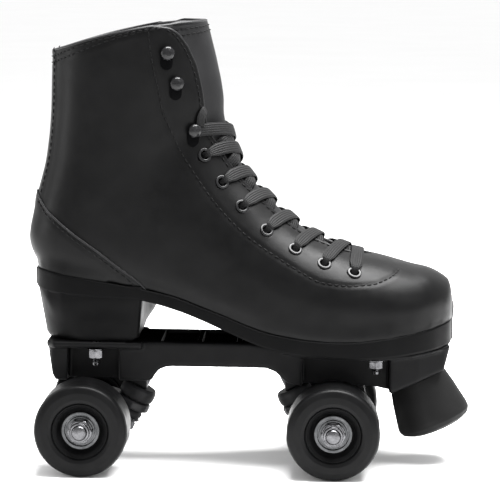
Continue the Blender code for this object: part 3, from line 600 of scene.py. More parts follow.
def grid_normals(points, closed_until=0):
    """The outward normals of a grid of points whose first rows are closed rings."""
    along = np.gradient(points, axis=0)
    around = np.gradient(points, axis=1)
    if closed_until:
        seam = points[:closed_until, 1] - points[:closed_until, -2]
        around[:closed_until, 0] = seam
        around[:closed_until, -1] = seam
    return unit(np.cross(along, around))


def smoothstep(low, high, value):
    """0 up to low and 1 from high, with a smooth rise between. It falls instead if low is above."""
    share = np.clip((value - low) / (high - low), 0.0, 1.0)
    return share * share * (3 - 2 * share)


# ---------------------------------------------------------------- boot lines
CELL = 1.25
COLUMNS = 172
ROWS = np.concatenate([even_sections(0.0, THROAT_START, CELL)[:-1],
                       even_sections(THROAT_START, LAST_SECTION, CELL)])
CLOSED_ROWS = int(np.sum(ROWS <= THROAT_START + 1e-6))
TURNS = np.array([even_turns(s, throat_turn(s), 2 * pi - throat_turn(s), COLUMNS) for s in ROWS])
SKIN = boot_skin(ROWS[:, None], TURNS)
SKIN_NORMALS = grid_normals(SKIN, CLOSED_ROWS)


def skin_tree(points):
    """A search tree over a grid of points."""
    count, width = points.shape[:2]
    faces = [(i * width + j, (i + 1) * width + j, (i + 1) * width + j + 1, i * width + j + 1)
             for i in range(count - 1) for j in range(width - 1)]
    return BVHTree.FromPolygons([tuple(p) for p in points.reshape(-1, 3)], faces)


def dropped(tree, points, sign):
    """Points (x, z) carried sideways onto one side of the boot."""
    out = []
    for x, z in points:
        hit = tree.ray_cast(Vector((x, sign * 200.0, z)), Vector((0.0, -sign, 0.0)))[0]
        if hit is not None:
            out.append(tuple(hit))
    return np.array(out)


def line_across(rows, distance, from_middle=False):
    """The point of each row of points at the same distance along it, from its start or middle."""
    line = []
    for points in rows:
        run = running(points)
        start = np.interp((len(points) - 1) / 2, np.arange(len(points)), run) if from_middle else 0.0
        line.append([np.interp(start + distance, run, points[:, k]) for k in range(3)])
    return np.array(line)


# The border of the facings, as x and z, from the collar to the toe
FACING_STITCHES = (
    (-35.9, 253.5), (-35.3, 247.2), (-33.0, 232.9), (-30.6, 223.1), (-28.9, 212.8), (-26.5, 205.3),
    (-21.3, 193.9), (-18.4, 187.0), (-11.4, 175.5), (-0.9, 160.5), (10.8, 147.2), (23.0, 136.3),
    (37.6, 126.6), (52.2, 118.0), (63.8, 112.3), (78.4, 110.2), (87.0, 110.3), (95.7, 111.0),
    (101.5, 112.8), (106.1, 114.6), (109.5, 117.0),
)
# The top edge of the heel counter, as x and z, from the back to the sole
COUNTER = (
    (-103.4, 160.0), (-101.0, 155.6), (-96.8, 150.3), (-90.9, 145.2), (-79.0, 136.2), (-67.1, 128.0),
    (-55.3, 119.3), (-43.4, 110.6), (-37.4, 105.9), (-33.0, 102.0),
)
# How far the stitching lies from the counter's edge, the backstay's, the collar's and the facings'
COUNTER_STITCH = 2.3
BACKSTAY_STITCH = 2.0
COLLAR_ROWS = (3.6, 7.0)
EDGE_STITCH = 2.6
BACKSTAY_HALF = 15.0
BACKSTAY_START = 14.3
# How far the leather rises and sinks: at the panels laid on it, at the stitching and all over
BACKSTAY_RISE = 0.7
COUNTER_RISE = 0.6
GROOVE_DEPTH = 0.28
GROOVE_BANK = 0.08
SOFTNESS = 0.22

BASE_TREE = skin_tree(SKIN)
FIRST_OPEN = CLOSED_ROWS + 1


def stitch_lines():
    """Every row of stitching, by name, as points on the plain face."""
    lines = {}
    back_rows = SKIN[ROWS >= BACKSTAY_START]
    for label, sign in SIDES.items():
        lines[f"facing_border_{label}"] = dropped(BASE_TREE, curved(FACING_STITCHES, 1.0), sign)
        open_rows = SKIN[FIRST_OPEN + 8:-3, ::-sign]
        lines[f"facing_edge_{label}"] = line_across(open_rows, EDGE_STITCH)
        row = [(x - 0.4 * COUNTER_STITCH, z - 0.9 * COUNTER_STITCH) for x, z in COUNTER[1:-2]]
        lines[f"counter_{label}"] = dropped(BASE_TREE, curved(row, 1.0), sign)
        beside = sign * (BACKSTAY_HALF - BACKSTAY_STITCH)
        lines[f"backstay_{label}"] = line_across(back_rows, beside, from_middle=True)
    down_from_rim = SKIN[:-41:-1, 3:-3].swapaxes(0, 1)
    for number, distance in enumerate(COLLAR_ROWS, start=1):
        lines[f"collar_{number}"] = line_across(down_from_rim, distance)
    return lines


STITCH_LINES = stitch_lines()


def near_lines(points, lines, reach):
    """Each point's distance to the nearest of the lines, up to reach."""
    dense = np.vstack([resampled(line, 0.5) for line in lines])
    tree = KDTree(len(dense))
    for index, point in enumerate(dense):
        tree.insert(point, index)
    tree.balance()
    flat = points.reshape(-1, 3)
    out = np.full(len(flat), reach, float)
    for index, point in enumerate(flat):
        out[index] = min(tree.find(point)[2], reach)
    return out.reshape(points.shape[:-1])


def back_distance():
    """Each skin point's distance round its section from the middle of the back."""
    step = np.linalg.norm(np.diff(SKIN, axis=1), axis=2)
    run = np.concatenate([np.zeros((len(ROWS), 1)), np.cumsum(step, axis=1)], axis=1)
    return np.abs(run - run[:, -1:] / 2)


# Where the leather meets the sole: its distance inside the rim, the most that it is filled out along
# the sides, and the x behind which the distance to the rim is measured all round the heel
RIM_INSET = 0.6
SIDE_FILL = 4.5
HEEL_FILL_X = -60.0


def sole_fill():
    """How far the leather stands out just above the sole, so that it meets the sole's rim."""
    x, y, z = np.moveaxis(SKIN, -1, 0)
    half, shift, high = (np.interp(x, SOLE[:, 0], SOLE[:, k]) for k in (1, 2, 4))
    side_room = half - RIM_INSET - np.abs(y - shift)
    heel = SOLE[SOLE[:, 0] < -50.0, :3] * (1, 1, 0)
    rim = np.vstack([heel[::-1], [(SOLE_REAR, 0.0, 0.0)], heel * (1, -1, 1)])
    inside = (side_room > 0) & (x > SOLE_REAR)
    heel_room = np.where(inside, near_lines(SKIN * (1, 1, 0), [rim], 8.0) - RIM_INSET, 0.0)
    side_room = np.minimum(side_room, SIDE_FILL) * np.abs(SKIN_NORMALS[:, :, 1])
    room = np.where(x < HEEL_FILL_X, heel_room, side_room)
    above = z - high
    near = smoothstep(11.0, 0.5, above) * smoothstep(-4.0, -1.0, above)
    return near * np.maximum(room, 0.0)


def skin_relief():
    """How far the leather stands off the plain face: panels laid on it, stitching and softness."""
    relief = np.zeros(SKIN.shape[:2])
    counter_top = np.interp(SKIN[:, :, 0], [x for x, z in COUNTER], [z for x, z in COUNTER])
    under = smoothstep(-0.5, 0.5, counter_top - SKIN[:, :, 2]) * (ROWS[:, None] > 9.0)
    relief += COUNTER_RISE * under * (SKIN[:, :, 0] < COUNTER[-1][0])
    stay = smoothstep(BACKSTAY_HALF + 0.6, BACKSTAY_HALF - 0.4, back_distance())
    relief += BACKSTAY_RISE * stay * smoothstep(BACKSTAY_START - 0.4, BACKSTAY_START, ROWS[:, None])
    relief += sole_fill()
    distance = near_lines(SKIN, STITCH_LINES.values(), 6.0)
    relief -= GROOVE_DEPTH * np.exp(-((distance / 1.1) ** 2))
    relief += GROOVE_BANK * np.exp(-(((distance - 2.6) / 1.4) ** 2))
    soft = np.array([noise.noise(Vector(point) / 26.0) + 0.5 * noise.noise(Vector(point) / 11.0)
                     for point in SKIN.reshape(-1, 3)]).reshape(relief.shape)
    return relief + SOFTNESS * soft


RELIEF = skin_relief()
FACE = SKIN + SKIN_NORMALS * RELIEF[:, :, None]
FACE_TREE = skin_tree(FACE)


def on_face(points):
    """The nearest points of the leather's face, with the outward normals there."""
    spots, normals = [], []
    for point in points:
        spot, normal, _, _ = FACE_TREE.find_nearest(Vector(point))
        spots.append(tuple(spot))
        normals.append(tuple(normal))
    return np.array(spots), np.array(normals)


# ---------------------------------------------------------------- boot pieces
EYELET_HOLE = 2.55
EYELET_RIM = 4.1
NOSE_ROUND = 1.1
EYELET_SPOTS = {f"{label}_{number}": boot_spot(x, z, sign) for label, sign in SIDES.items()
                for number, (x, z) in enumerate(EYELETS, start=1)}


def make_upper():
    """The leather shell, with a rounded nose, holes at the eyelets and a cloth lining."""
    centre = FACE[0].mean(axis=0)
    nose = [centre + (FACE[0] - centre) * cos(angle) + (NOSE_ROUND * sin(angle), 0.0, 0.0)
            for angle in pi / 2 * np.arange(8, 0, -1) / 8]
    shape = Shape()
    shape.grid(design(np.concatenate([nose, FACE])))
    piece = shape.build("boot_upper_leather", LEATHER, LINING, sharp=60, weld=2 * WELD)
    holes = [Vector(design(boot_skin(s, turn))) for s, turn in EYELET_SPOTS.values()]
    with editing(piece.data) as bm:
        doomed = [vertex for vertex in bm.verts
                  if min((vertex.co - hole).length for hole in holes) < (EYELET_HOLE + 0.15) * MM]
        bmesh.ops.delete(bm, geom=doomed, context="VERTS")
    thicken(piece, UPPER_THICK)
    rides(piece, "chassis", "leather", "boot_upper")


def make_bindings():
    """Rolled edges round the throat and the collar, and the cord on the heel counter."""
    shape = Shape()
    first = FIRST_OPEN - 1
    path, normals = (np.concatenate([grid[first:, 0], grid[-1, 1:], grid[first:-1, -1][::-1]])
                     for grid in (FACE, SKIN_NORMALS))
    path = path - normals * (UPPER_THICK / 2)
    keep = np.concatenate([[True], np.linalg.norm(np.diff(path, axis=0), axis=1) > 0.05])
    line = resampled(np.hstack([path[keep], normals[keep]]), 1.3)
    add_sweep(shape, design(line[:, :3]), line[:, 3:], ellipse(0.85, 1.36, 12))
    rides(shape.build("edge_binding", EDGE), "chassis", "leather")
    for label, sign in SIDES.items():
        line = resampled(dropped(BASE_TREE, curved(COUNTER[:-1], 1.0), sign), 1.2)
        spots, across = on_face(line)
        shape = Shape()
        add_sweep(shape, design(spots + across * 0.2), across, ellipse(0.62, 0.62, 10))
        rides(shape.build(f"counter_piping_{label}", EDGE), "chassis", "leather")


STITCH_SHARE = np.linspace(-1, 1, 7)
STITCH_PITCH = 3.9
STITCH_LENGTH = 2.9
STITCH_HALF = 0.42


def stitch(spot, way, normal, half_length, lift, arch, sink):
    """The middle line of one thread, arched over the leather, with both ends sunk into it."""
    height = lift + arch * (1 - STITCH_SHARE**2) - sink * STITCH_SHARE**6
    return spot + way * STITCH_SHARE[:, None] * half_length + normal * height[:, None]


def add_stitches(shape, line):
    """A row of short threads on the leather's face."""
    spots, normals = on_face(resampled(line, STITCH_PITCH))
    ahead = unit(np.gradient(spots, axis=0))
    ahead = unit(ahead - normals * (ahead * normals).sum(axis=1, keepdims=True))
    swell = np.sqrt(np.maximum(1 - STITCH_SHARE**6, 0.12))
    for spot, normal, way in zip(spots, normals, ahead):
        path = stitch(spot, way, normal, STITCH_LENGTH / 2, 0.12, 0.22, 0.35)
        add_sweep(shape, design(path), normal, ellipse(STITCH_HALF, STITCH_HALF * 0.8, 6),
                  np.stack([swell, swell], axis=1))


def make_stitching():
    """The threads along every row of stitching on the leather."""
    for name, line in STITCH_LINES.items():
        shape = Shape()
        add_stitches(shape, line)
        rides(shape.build(f"stitching_{name}", THREAD), "chassis", "leather")


def tongue_outset(s, turn):
    """How far the tongue stands off the boot's face: behind the facings, and level between them."""
    under = UPPER_THICK + 0.9
    edge = max(throat_turn(s) * 0.75, 1e-6)
    rise = min(1.0, max(0.0, (s - 6.0) / 0.8))
    return -under + under * rise * np.maximum(0.0, 1 - (turn / edge) ** 2)


def make_tongue():
    """The tongue, arched between the facings, with a rolled and stitched top edge."""
    rows = []
    for s in even_sections(TONGUE_START, LAST_SECTION, 2.0):
        edge = turn_at(s, between(THROAT, s) + TONGUE_LAP)
        turns = np.linspace(-edge, edge, 48)
        outset = tongue_outset(s, turns)[:, None]
        rows.append(boot_skin(s, turns) + boot_normal(np.full(48, s), turns) * outset)
    rows = np.array(rows)
    normals = grid_normals(rows)
    soft = np.array([noise.noise(Vector(point) / 17.0) for point in rows.reshape(-1, 3)])
    rows = rows + normals * 0.35 * soft.reshape(rows.shape[:2])[:, :, None]
    shape = Shape()
    shape.grid(design(rows))
    piece = shape.build("tongue_leather", TONGUE_LEATHER, LINING, sharp=60)
    thicken(piece, TONGUE_THICK)
    rides(piece, "chassis", "leather", "tongue")
    shape = Shape()
    edge = rows[-1] - normals[-1] * TONGUE_THICK / 2
    add_sweep(shape, design(edge), normals[-1], ellipse(0.9, 1.75, 12))
    rides(shape.build("tongue_top_binding", EDGE), "chassis", "leather")
    tree = skin_tree(rows)
    shape = Shape()
    for row in (-3, -5):
        line = resampled(rows[row], 3.6)
        for spot, way in zip(line, unit(np.gradient(line, axis=0))):
            spot, normal = (np.array(found) for found in tree.find_nearest(Vector(spot))[:2])
            path = stitch(spot, way, normal, 1.3, 0.1, 0.2, 0.3)
            add_sweep(shape, design(path), normal, ellipse(0.4, 0.34, 6))
    rides(shape.build("stitching_tongue_top", THREAD), "chassis", "leather")


def make_insole():
    """A thin padded sheet on the boot's floor, turned up at its edges."""
    rows = []
    for s in even_sections(2.2, 11.6, 2.2):
        half = boot_sections(s)[4] * INSOLE_SHARE
        edge = turn_at(s, half, sole=True)
        points = boot_skin(s, np.linspace(edge, 2 * pi - edge, 40))
        points[:, 2] += UPPER_THICK + 0.6
        points[:, 2] += 1.6 * np.linspace(-1, 1, 40) ** 6
        rows.append(points)
    shape = Shape()
    shape.grid(design(rows), flip=True)
    piece = shape.build("insole_cloth", INSOLE, sharp=60)
    thicken(piece, INSOLE_THICK, offset=1.0, back=0)
    rides(piece, "chassis", "insole_foam", "insole")


def make_eyelets():
    """Fourteen rolled metal rings, one in each hole."""
    profile = rounded([(EYELET_HOLE, -2.6), (EYELET_HOLE, 0.95, 0.75), (EYELET_RIM, 0.75, 0.7),
                       (EYELET_RIM, -0.15), (3.0, -0.2), (3.0, -2.6)], steps=5)
    for name, (s, turn) in EYELET_SPOTS.items():
        centre = boot_skin(s, turn)
        spot, normal = on_face([centre])
        shape = Shape()
        add_turned(shape, profile[::-1], design(spot[0]), normal[0], steps=36)
        rides(shape.build(f"eyelet_{name}", BLACK_METAL), "chassis", "black_metal")


# A speed hook's tab from its foot upwards: how far up the boot, how far off the leather, half-width
HOOK_TAB = ((-9.6, 0.55, 0.6), (-9.2, 0.6, 1.8), (-8.2, 0.7, 2.9), (-6.4, 0.8, 3.5), (-3.0, 0.95, 3.6),
            (0.0, 1.1, 3.5), (2.0, 1.1, 2.9), (3.0, 1.0, 1.6))
HOOK_HEAD = ((0.0, 5.2), (1.6, 5.1, 0.8), (3.5, 4.2, 1.6), (4.15, 2.9, 0.5), (3.8, 2.2, 0.3),
             (2.3, 2.1, 0.2), (2.3, 0.4), (0.0, 0.4))


def make_hooks():
    """Speed hooks: a tab up the leather and a domed head that the lace goes behind."""
    profile = [(cos(angle), 0.5 * sin(angle)) for angle in 2 * pi * np.arange(16) / 16]
    head = rounded(HOOK_HEAD, closed=False)
    reach, height, half = curved(HOOK_TAB, 0.6).T[:, :, None]
    scale = np.hstack([half, np.ones_like(half)])
    for label, sign in SIDES.items():
        for number, (x, z) in enumerate(HOOKS, start=1):
            spot, normal = on_face([boot_skin(*boot_spot(x, z, sign))])
            out = Vector(normal[0])
            rise = (Vector((0.0, 0.0, 1.0)) - out * out.z).normalized()
            path = spot + reach * np.array(rise) + height * normal
            shape = Shape()
            # The tab takes the second material, the matte nylon with no reflection: painted shade under the
            # hook's head
            add_sweep(shape, design(path), normal, profile, scale, slot=1)
            add_turned(shape, head, design(spot[0]), out, steps=40, closed=False)
            piece = shape.build(f"speed_hook_{label}_{number}", BLACK_METAL, DULL_SHADE_NYLON)
            orient(piece)
            rides(piece, "chassis", "black_metal", f"lace_hook_{label}_{number}")


# The lace's half-width and half-thickness, how far its middle lies off the face over the boot, behind
# the facings and in an eyelet, and its share of the full width there
LACE_HALF = 3.8
LACE_HALF_THICK = 0.62
LACE_OVER = 1.35
LACE_UNDER = -3.1
HOLE_DEPTH = 2.2
PINCH = 0.55
LACE_PROFILE = [(LACE_HALF * (1 if cos(a) > 0 else -1) * abs(cos(a)) ** 0.55,
                 LACE_HALF_THICK * (1 if sin(a) > 0 else -1) * abs(sin(a)) ** 0.8)
                for a in [2 * pi * (k + 0.5) / 20 for k in range(20)]]
WHOLE_TREE = skin_tree(boot_skin(ROWS[:, None], np.linspace(0.0, 2 * pi, 241)[None, :]))


def crossing(start, end):
    """The short way over the instep between two points of the face: its points and normals."""
    chord = end - start
    facing = [np.array(WHOLE_TREE.find_nearest(Vector(point))[1]) for point in (start, end)]
    out = facing[0] + facing[1]
    out = out - chord * (out @ chord) / (chord @ chord)
    out = Vector(out).normalized()
    rows = []
    for share in np.linspace(0.0, 1.0, 90):
        origin = Vector(start + chord * share) + out * 90.0
        spot, normal, _, _ = WHOLE_TREE.ray_cast(origin, -out)
        if spot is not None:
            rows.append((*spot, *normal))
    line = resampled(rows, 1.0)
    return line[:, :3], unit(line[:, 3:])


def widening(run):
    """The lace's share of its full width, at distances from the eyelet that pinches it."""
    return PINCH + (1 - PINCH) * smoothstep(0.5, 9.0, run)


def add_strap(shape, start, end, far_side, lift, hooked=False, tucked=True):
    """One crossing over the throat, out of an eyelet or from under a hook's head. A tucked one
    dives under the far facing; the other goes into the eyelet there."""
    skin, normals = crossing(start, end)
    run = running(skin)
    over = LACE_OVER + lift * np.exp(-(((run - run[-1] * 0.5) / 12.0) ** 2))
    outset = over if hooked else -HOLE_DEPTH + (over + HOLE_DEPTH) * smoothstep(0.0, 3.4, run)
    spread = np.ones(len(run)) if hooked else widening(run)
    keep = np.full(len(run), True)
    left = run[-1] - run
    if tucked:
        border = SKIN[CLOSED_ROWS:, 0 if far_side < 0 else -1]
        gap = np.linalg.norm(skin[:, None, :] - border[None, :, :], axis=2).min(axis=1)
        far_edge = run[np.argmin(gap + np.where(run > run[-1] / 2, 0.0, 99.0))]
        dive = smoothstep(far_edge - 7.0, far_edge + 2.5, run)
        outset = outset * (1 - dive) + LACE_UNDER * dive
        keep = left >= 2.0
    else:
        outset = -HOLE_DEPTH + (outset + HOLE_DEPTH) * smoothstep(0.0, 3.4, left)
        spread = spread * widening(left)
    scale = np.stack([spread, 1 + 0.9 * (1 - spread)], axis=1)
    path = skin + normals * outset[:, None]
    add_sweep(shape, design(path[keep]), normals[keep], LACE_PROFILE, scale[keep])


# The lace's end beyond the first hook, from the facing's edge: back, up and off the leather
TAIL = ((-3.4, -8.5, 1.8), (-3.3, -6.0, 1.8), (-2.9, -3.6, 1.5), (-1.9, -1.4, 1.1), (-0.6, 0.2, 0.5),
        (0.5, 1.2, -0.9), (1.0, 1.7, -2.6))
TAIL_Z = 208.5


def add_tail(shape, sign):
    """The lace's end: up from the first hook, then over the facing's edge and in behind it."""
    border = SKIN[CLOSED_ROWS:, 0 if sign < 0 else -1]
    edge = border[np.argmin(np.abs(border[:, 2] - TAIL_Z))]
    line = curved([(edge[0] + x, edge[2] + z, outset) for x, z, outset in TAIL], 0.9)
    spots = np.array([boot_spot(x, z, sign) for x, z, _ in line])
    normals = boot_normal(spots[:, 0], spots[:, 1])
    path = boot_skin(spots[:, 0], spots[:, 1]) + normals * line[:, 2:3]
    scale = np.tile((0.72, 1.15), (len(line), 1))
    add_sweep(shape, design(path), normals, LACE_PROFILE, scale)


def make_lace():
    """Each crossing goes down the boot, from an eyelet or hook to the next lower eyelet opposite."""
    shape = Shape()
    stops = {sign: [boot_skin(*boot_spot(x, z, sign)) for x, z in (*EYELETS, HOOKS[0])]
             for sign in SIDES.values()}
    for sign, lift in ((-1, 1.7), (1, 0.15)):
        for number, start in enumerate(stops[sign][1:]):
            add_strap(shape, start, stops[-sign][number], -sign, lift, hooked=number == len(EYELETS) - 1)
        add_tail(shape, sign)
    add_strap(shape, stops[-1][0], stops[1][0], 1, 0.1, tucked=False)
    rides(shape.build("woven_lace", LACE, sharp=50), "chassis", "lace_cloth", "lace")


# ---------------------------------------------------------------- sole and heel
def make_sole():
    """The outsole: a moulded tray that holds the boot, solid towards the toe and the back."""
    rows = smooth_rows(SOLE, np.linspace(0, len(SOLE) - 1, 190))
    angles = pi / 2 * np.arange(1, 6) / 5
    rear, front = ([(x + way * SOLE_ROUND * sin(angle), half * cos(angle * 0.96), shift,
                     low + 1.2 * (1 - cos(angle)), high - 1.2 * (1 - cos(angle))) for angle in angles]
                   for way, (x, half, shift, low, high) in ((-1.0, rows[0]), (1.0, rows[-1])))
    rows = np.vstack([rear[::-1], rows, front])
    shape = Shape()
    rings = []
    for number, (x, half, shift, low, high) in enumerate(rows):
        solid = min(number, len(rows) - 1 - number) < 14
        floor = high - 0.4 if solid else low + 0.45 * (high - low)
        wall = min(3.0, half * 0.4)
        outline = rounded([(half - 0.5, low, 1.3), (half, low + 1.2, 0.8), (half, high - 0.8, 0.4),
                           (half - 0.5, high, 0.3), (half - wall * 0.6, high, 0.3),
                           (half - wall, floor, 0.3)], steps=4, closed=False)
        right = [(x, shift + y, z) for y, z in outline]
        left = [(x, shift - y, z) for y, z in outline[::-1]]
        rings.append(right + left)
    shape.tube(design(rings))
    piece = shape.build("outsole", SOLE_RUBBER, sharp=50)
    orient(piece)
    rides(piece, "chassis", "sole_rubber", "sole_unit")


def flush_with_sole(ring, z):
    """The heel's outline at one height, widened near the top to run into the sole's side."""
    widest = np.abs(ring[:, 1]).max()
    sole_half = np.interp(ring[:, 0], SOLE[:, 0], SOLE[:, 1])
    rear = ring[:, 0].min()
    back = np.clip(1 - (ring[:, 0] - rear) / HEEL_ROUND, 0.0, 1.0)
    own_half = widest * np.sqrt(np.maximum(1 - back**2, 1e-6))
    ratio = np.clip((sole_half - 0.05) / own_half, 0.95, 1.15)
    ring[:, 1] *= 1 + (ratio - 1) * smoothstep(84.0, 99.5, z)
    return ring


def arc(x, y, reach_x, reach_y, angles):
    """Points (x, y) round part of an ellipse, at angles given in quarter turns."""
    return [(x + reach_x * cos(pi / 2 * quarter), y + reach_y * sin(pi / 2 * quarter))
            for quarter in angles]


def make_heel():
    """The heel block: a rounded back, a nearly straight breast and a worn top piece."""
    levels = np.array(HEEL)
    heights = np.concatenate([[73.45, 73.55, 73.8, 74.2, 75.0], np.linspace(76.0, 107.0, 26)])
    shape = Shape()
    rings = []
    bend = np.arange(1, 8) / 8
    for z in heights:
        rear, front, half = (np.interp(z, levels[:, 0], levels[:, k]) for k in (1, 2, 3))
        inset = 0.5 * max(0.0, 1 - (z - heights[0]) / 0.8) ** 2
        rear, front, half = rear + inset, front - inset, half - inset
        wedge = BREAST_WEDGE * smoothstep(76.0, 88.0, z)
        flat = half - HEEL_CORNER
        outline = [(front + wedge * smoothstep(-0.2, 1.0, y / half), y)
                   for y in flat * np.linspace(-1, 1, 13)]
        outline += arc(front + wedge - HEEL_CORNER, flat, HEEL_CORNER, HEEL_CORNER, bend)
        outline += arc(rear + HEEL_ROUND, 0.0, HEEL_ROUND, half, 1 + np.arange(49) / 24)
        outline += arc(front - HEEL_CORNER, -flat, HEEL_CORNER, HEEL_CORNER, 3 + bend)
        rings.append(flush_with_sole(np.array([(x, y, z) for x, y in outline]), z))
    shape.tube(design(rings))
    piece = shape.build("heel_block", SOLE_RUBBER, sharp=45)
    orient(piece)
    rides(piece, "chassis", "sole_rubber")


# ---------------------------------------------------------------- castings, mouldings and metal
# The hollows in the top of the plate's beam: their ends, half-width and floor, and the beam's ends, between
# which its upward faces get painted shade
WELLS = ((-29.0, -8.0), (-5.0, 15.0), (18.0, 36.0))
WELL_HALF = 20.8
WELL_FLOOR = 70.2
BEAM_TOP = (-50.0, 41.0)


def cut_wells(piece):
    """Sinks the hollows between the ribs in the top of the beam."""
    cutters = []
    for start, end in WELLS:
        mesh = bpy.data.meshes.new("well")
        size = Vector((end - start, 2 * WELL_HALF, 10.0)) * MM
        middle = place((start + end) / 2, 0.0, WELL_FLOOR + 5.0)
        with editing(mesh) as bm:
            bmesh.ops.create_cube(bm, size=1.0,
                                  matrix=Matrix.Translation(middle) @ Matrix.Diagonal((*size, 1.0)))
        cutters.append(linked("well", mesh))
        cut = piece.modifiers.new("well", "BOOLEAN")
        cut.operation = "DIFFERENCE"
        cut.object = cutters[-1]
    return cutters


def remade(name, node, voxel, material, body, slot, passes=4, wells=False):
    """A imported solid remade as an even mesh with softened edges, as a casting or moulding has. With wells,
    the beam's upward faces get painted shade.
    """
    piece = linked(name, NODES[node].data.copy())
    with editing(piece.data) as bm:
        bmesh.ops.remove_doubles(bm, verts=bm.verts, dist=WELD)
    cutters = cut_wells(piece) if wells else []
    remesh = piece.modifiers.new("remesh", "REMESH")
    remesh.mode = "VOXEL"
    remesh.voxel_size = voxel * MM
    soften = piece.modifiers.new("soften", "SMOOTH")
    soften.factor = 0.5
    soften.iterations = passes
    mesh = bpy.data.meshes.new_from_object(piece.evaluated_get(bpy.context.evaluated_depsgraph_get()))
    piece.modifiers.clear()
    piece.data = mesh
    for cutter in cutters:
        bpy.data.objects.remove(cutter)
    mesh.materials.clear()
    mesh.materials.append(material)
    # The second slot is the matte nylon with no reflection: painted shade on the beam's upward faces, its
    # top and its hollows
    mesh.materials.append(DULL_SHADE_NYLON)
    rear, front = (place(x, 0.0, 0.0).x for x in BEAM_TOP)
    for face in mesh.polygons:
        if wells and rear < face.center.x < front and face.normal.z > 0.6:
            face.material_index = 1
    mesh.shade_smooth()
    rides(piece, body, slot, node)


def kingpin_axis(end):
    """The way down a kingpin."""
    return Vector((sin(KINGPIN_LEAN) * ENDS[end], 0.0, -cos(KINGPIN_LEAN)))


def on_kingpin(end, down):
    """The point of a kingpin's axis at a distance down from the plate."""
    x, z = KINGPIN_FOOT[end]
    return place(x, 0.0, z) + kingpin_axis(end) * down * MM


def one_turned(name, profile, centre, axis, material, *riding, steps=64, closed=True):
    """A piece turned from one profile. riding holds its body, slot and the node that it replaces."""
    shape = Shape()
    add_turned(shape, profile, centre, axis, steps=steps, closed=closed)
    piece = shape.build(name, material, sharp=35)
    orient(piece)
    return rides(piece, *riding) if riding else piece


def zinc_part(shape, name, body, node):
    """A piece gathered from several turned shapes."""
    piece = shape.build(name, ZINC, sharp=30)
    orient(piece)
    rides(piece, body, "zinc_steel", node)


# Each cushion's name, its fixed and its moving end down the kingpin, and its radius
CUSHIONS = (("upper", 0.3, 8.8, 10.5), ("lower", 20.5, 15.0, 8.2))


def make_stack(end):
    """The kingpin with its cushions, cup washer and nut, and the pivot's bush."""
    up = -kingpin_axis(end)
    pin = [(0.0, 44.0), (3.6, 44.0), (PIN_RADIUS, 43.4), (PIN_RADIUS, 13.0)]
    pin += thread_profile(PIN_RADIUS, 0.8, 12.8)
    pin += [(3.3, 0.0), (0.0, 0.0)]
    one_turned(f"kingpin_bolt_{end}", pin, on_kingpin(end, 32.0), up, ZINC,
               "chassis", "zinc_steel", f"kingpin_{end}", closed=False)
    for label, fixed, moving, radius in CUSHIONS:
        height = abs(moving - fixed)
        profile = rounded([(CUSHION_BORE, 0.0), (radius - 0.9, 0.0, 0.5), (radius, 1.5, 1.4),
                           (radius + 0.25, height / 2, 3.0), (radius, height - 1.5, 1.4),
                           (radius - 0.9, height, 0.5), (CUSHION_BORE, height)], steps=4)
        foot = on_kingpin(end, max(fixed, moving))
        piece = one_turned(f"cushion_{label}_{end}", profile, foot, up, CUSHION)
        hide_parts(f"{label}_cushion_{end}")
        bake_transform(piece)
    washer = rounded([(CUSHION_BORE, 0.0), (6.0, 0.0, 0.2), (8.5, 1.1, 0.5), (8.6, 1.9, 0.3),
                      (5.9, 0.9, 0.5), (CUSHION_BORE, 0.9)], steps=4)
    one_turned(f"washer_cup_{end}", washer, on_kingpin(end, 22.4), up, ZINC,
               "chassis", "zinc_steel", f"cup_washer_{end}")
    shape = Shape()
    add_nut(shape, NUT_FLATS, 5.4, PIN_RADIUS, on_kingpin(end, 27.9), up)
    collar = rounded([(4.1, 0.0), (5.6, 0.0, 0.5), (6.0, 1.7), (4.1, 1.7)], steps=4)
    add_turned(shape, collar, on_kingpin(end, 29.5), up, steps=48)
    zinc_part(shape, f"kingpin_locknut_{end}", "chassis", f"kingpin_nut_{end}")
    ball = place(PIVOT[end][0], 0.0, PIVOT[end][1])
    axis = (ball - on_kingpin(end, RING_MIDDLE)).normalized()
    cup = rounded([(5.1, 0.0), (7.4, 0.0, 0.5), (7.6, 8.0, 0.8), (5.1, 8.0, 0.4)], steps=4)
    one_turned(f"pivot_bush_{end}", cup, ball - axis * 4.0 * MM, axis, CUSHION,
               "chassis", "cushion_rubber", f"pivot_cup_{end}")


def make_axle(end):
    """The axle, threaded at both ends, with a washer, a nut and its collar on each."""
    body = f"truck_{end}"
    x = ENDS[end] * AXLE_X
    half = [(0.0, AXLE_HALF), (3.2, AXLE_HALF)] + thread_profile(AXLE_RADIUS, 62.0, 69.8)
    half += [(AXLE_RADIUS, 61.5)]
    one_turned(f"axle_rod_{end}", mirrored(half), place(x, 0.0, WHEEL_RADIUS), Vector((0, 1, 0)), ZINC,
               body, "zinc_steel", f"axle_{end}", closed=False)
    collar = rounded([(4.0, 0.0), (5.9, 0.0), (5.5, 1.8, 0.7), (4.1, 1.6, 0.3)], steps=4)
    washer = rounded([(4.1, 0.0), (6.9, 0.0, 0.2), (6.9, 0.7, 0.2), (4.1, 0.7)], steps=3)
    for label, sign in SIDES.items():
        shape = Shape()
        way = Vector((0, sign, 0))
        add_nut(shape, NUT_FLATS, 4.5, AXLE_RADIUS, place(x, sign * 61.8, WHEEL_RADIUS), way)
        add_turned(shape, collar, place(x, sign * 66.2, WHEEL_RADIUS), way, steps=48)
        add_turned(shape, washer, place(x, sign * 61.15, WHEEL_RADIUS), way, steps=48)
        zinc_part(shape, f"axle_locknut_{end}_{label}", body, f"axle_nut_{end}_{label}")


def mirrored(half):
    """A profile from the points of its upper half, the highest first."""
    return list(half) + [(radius, -height) for radius, height in reversed(half)]


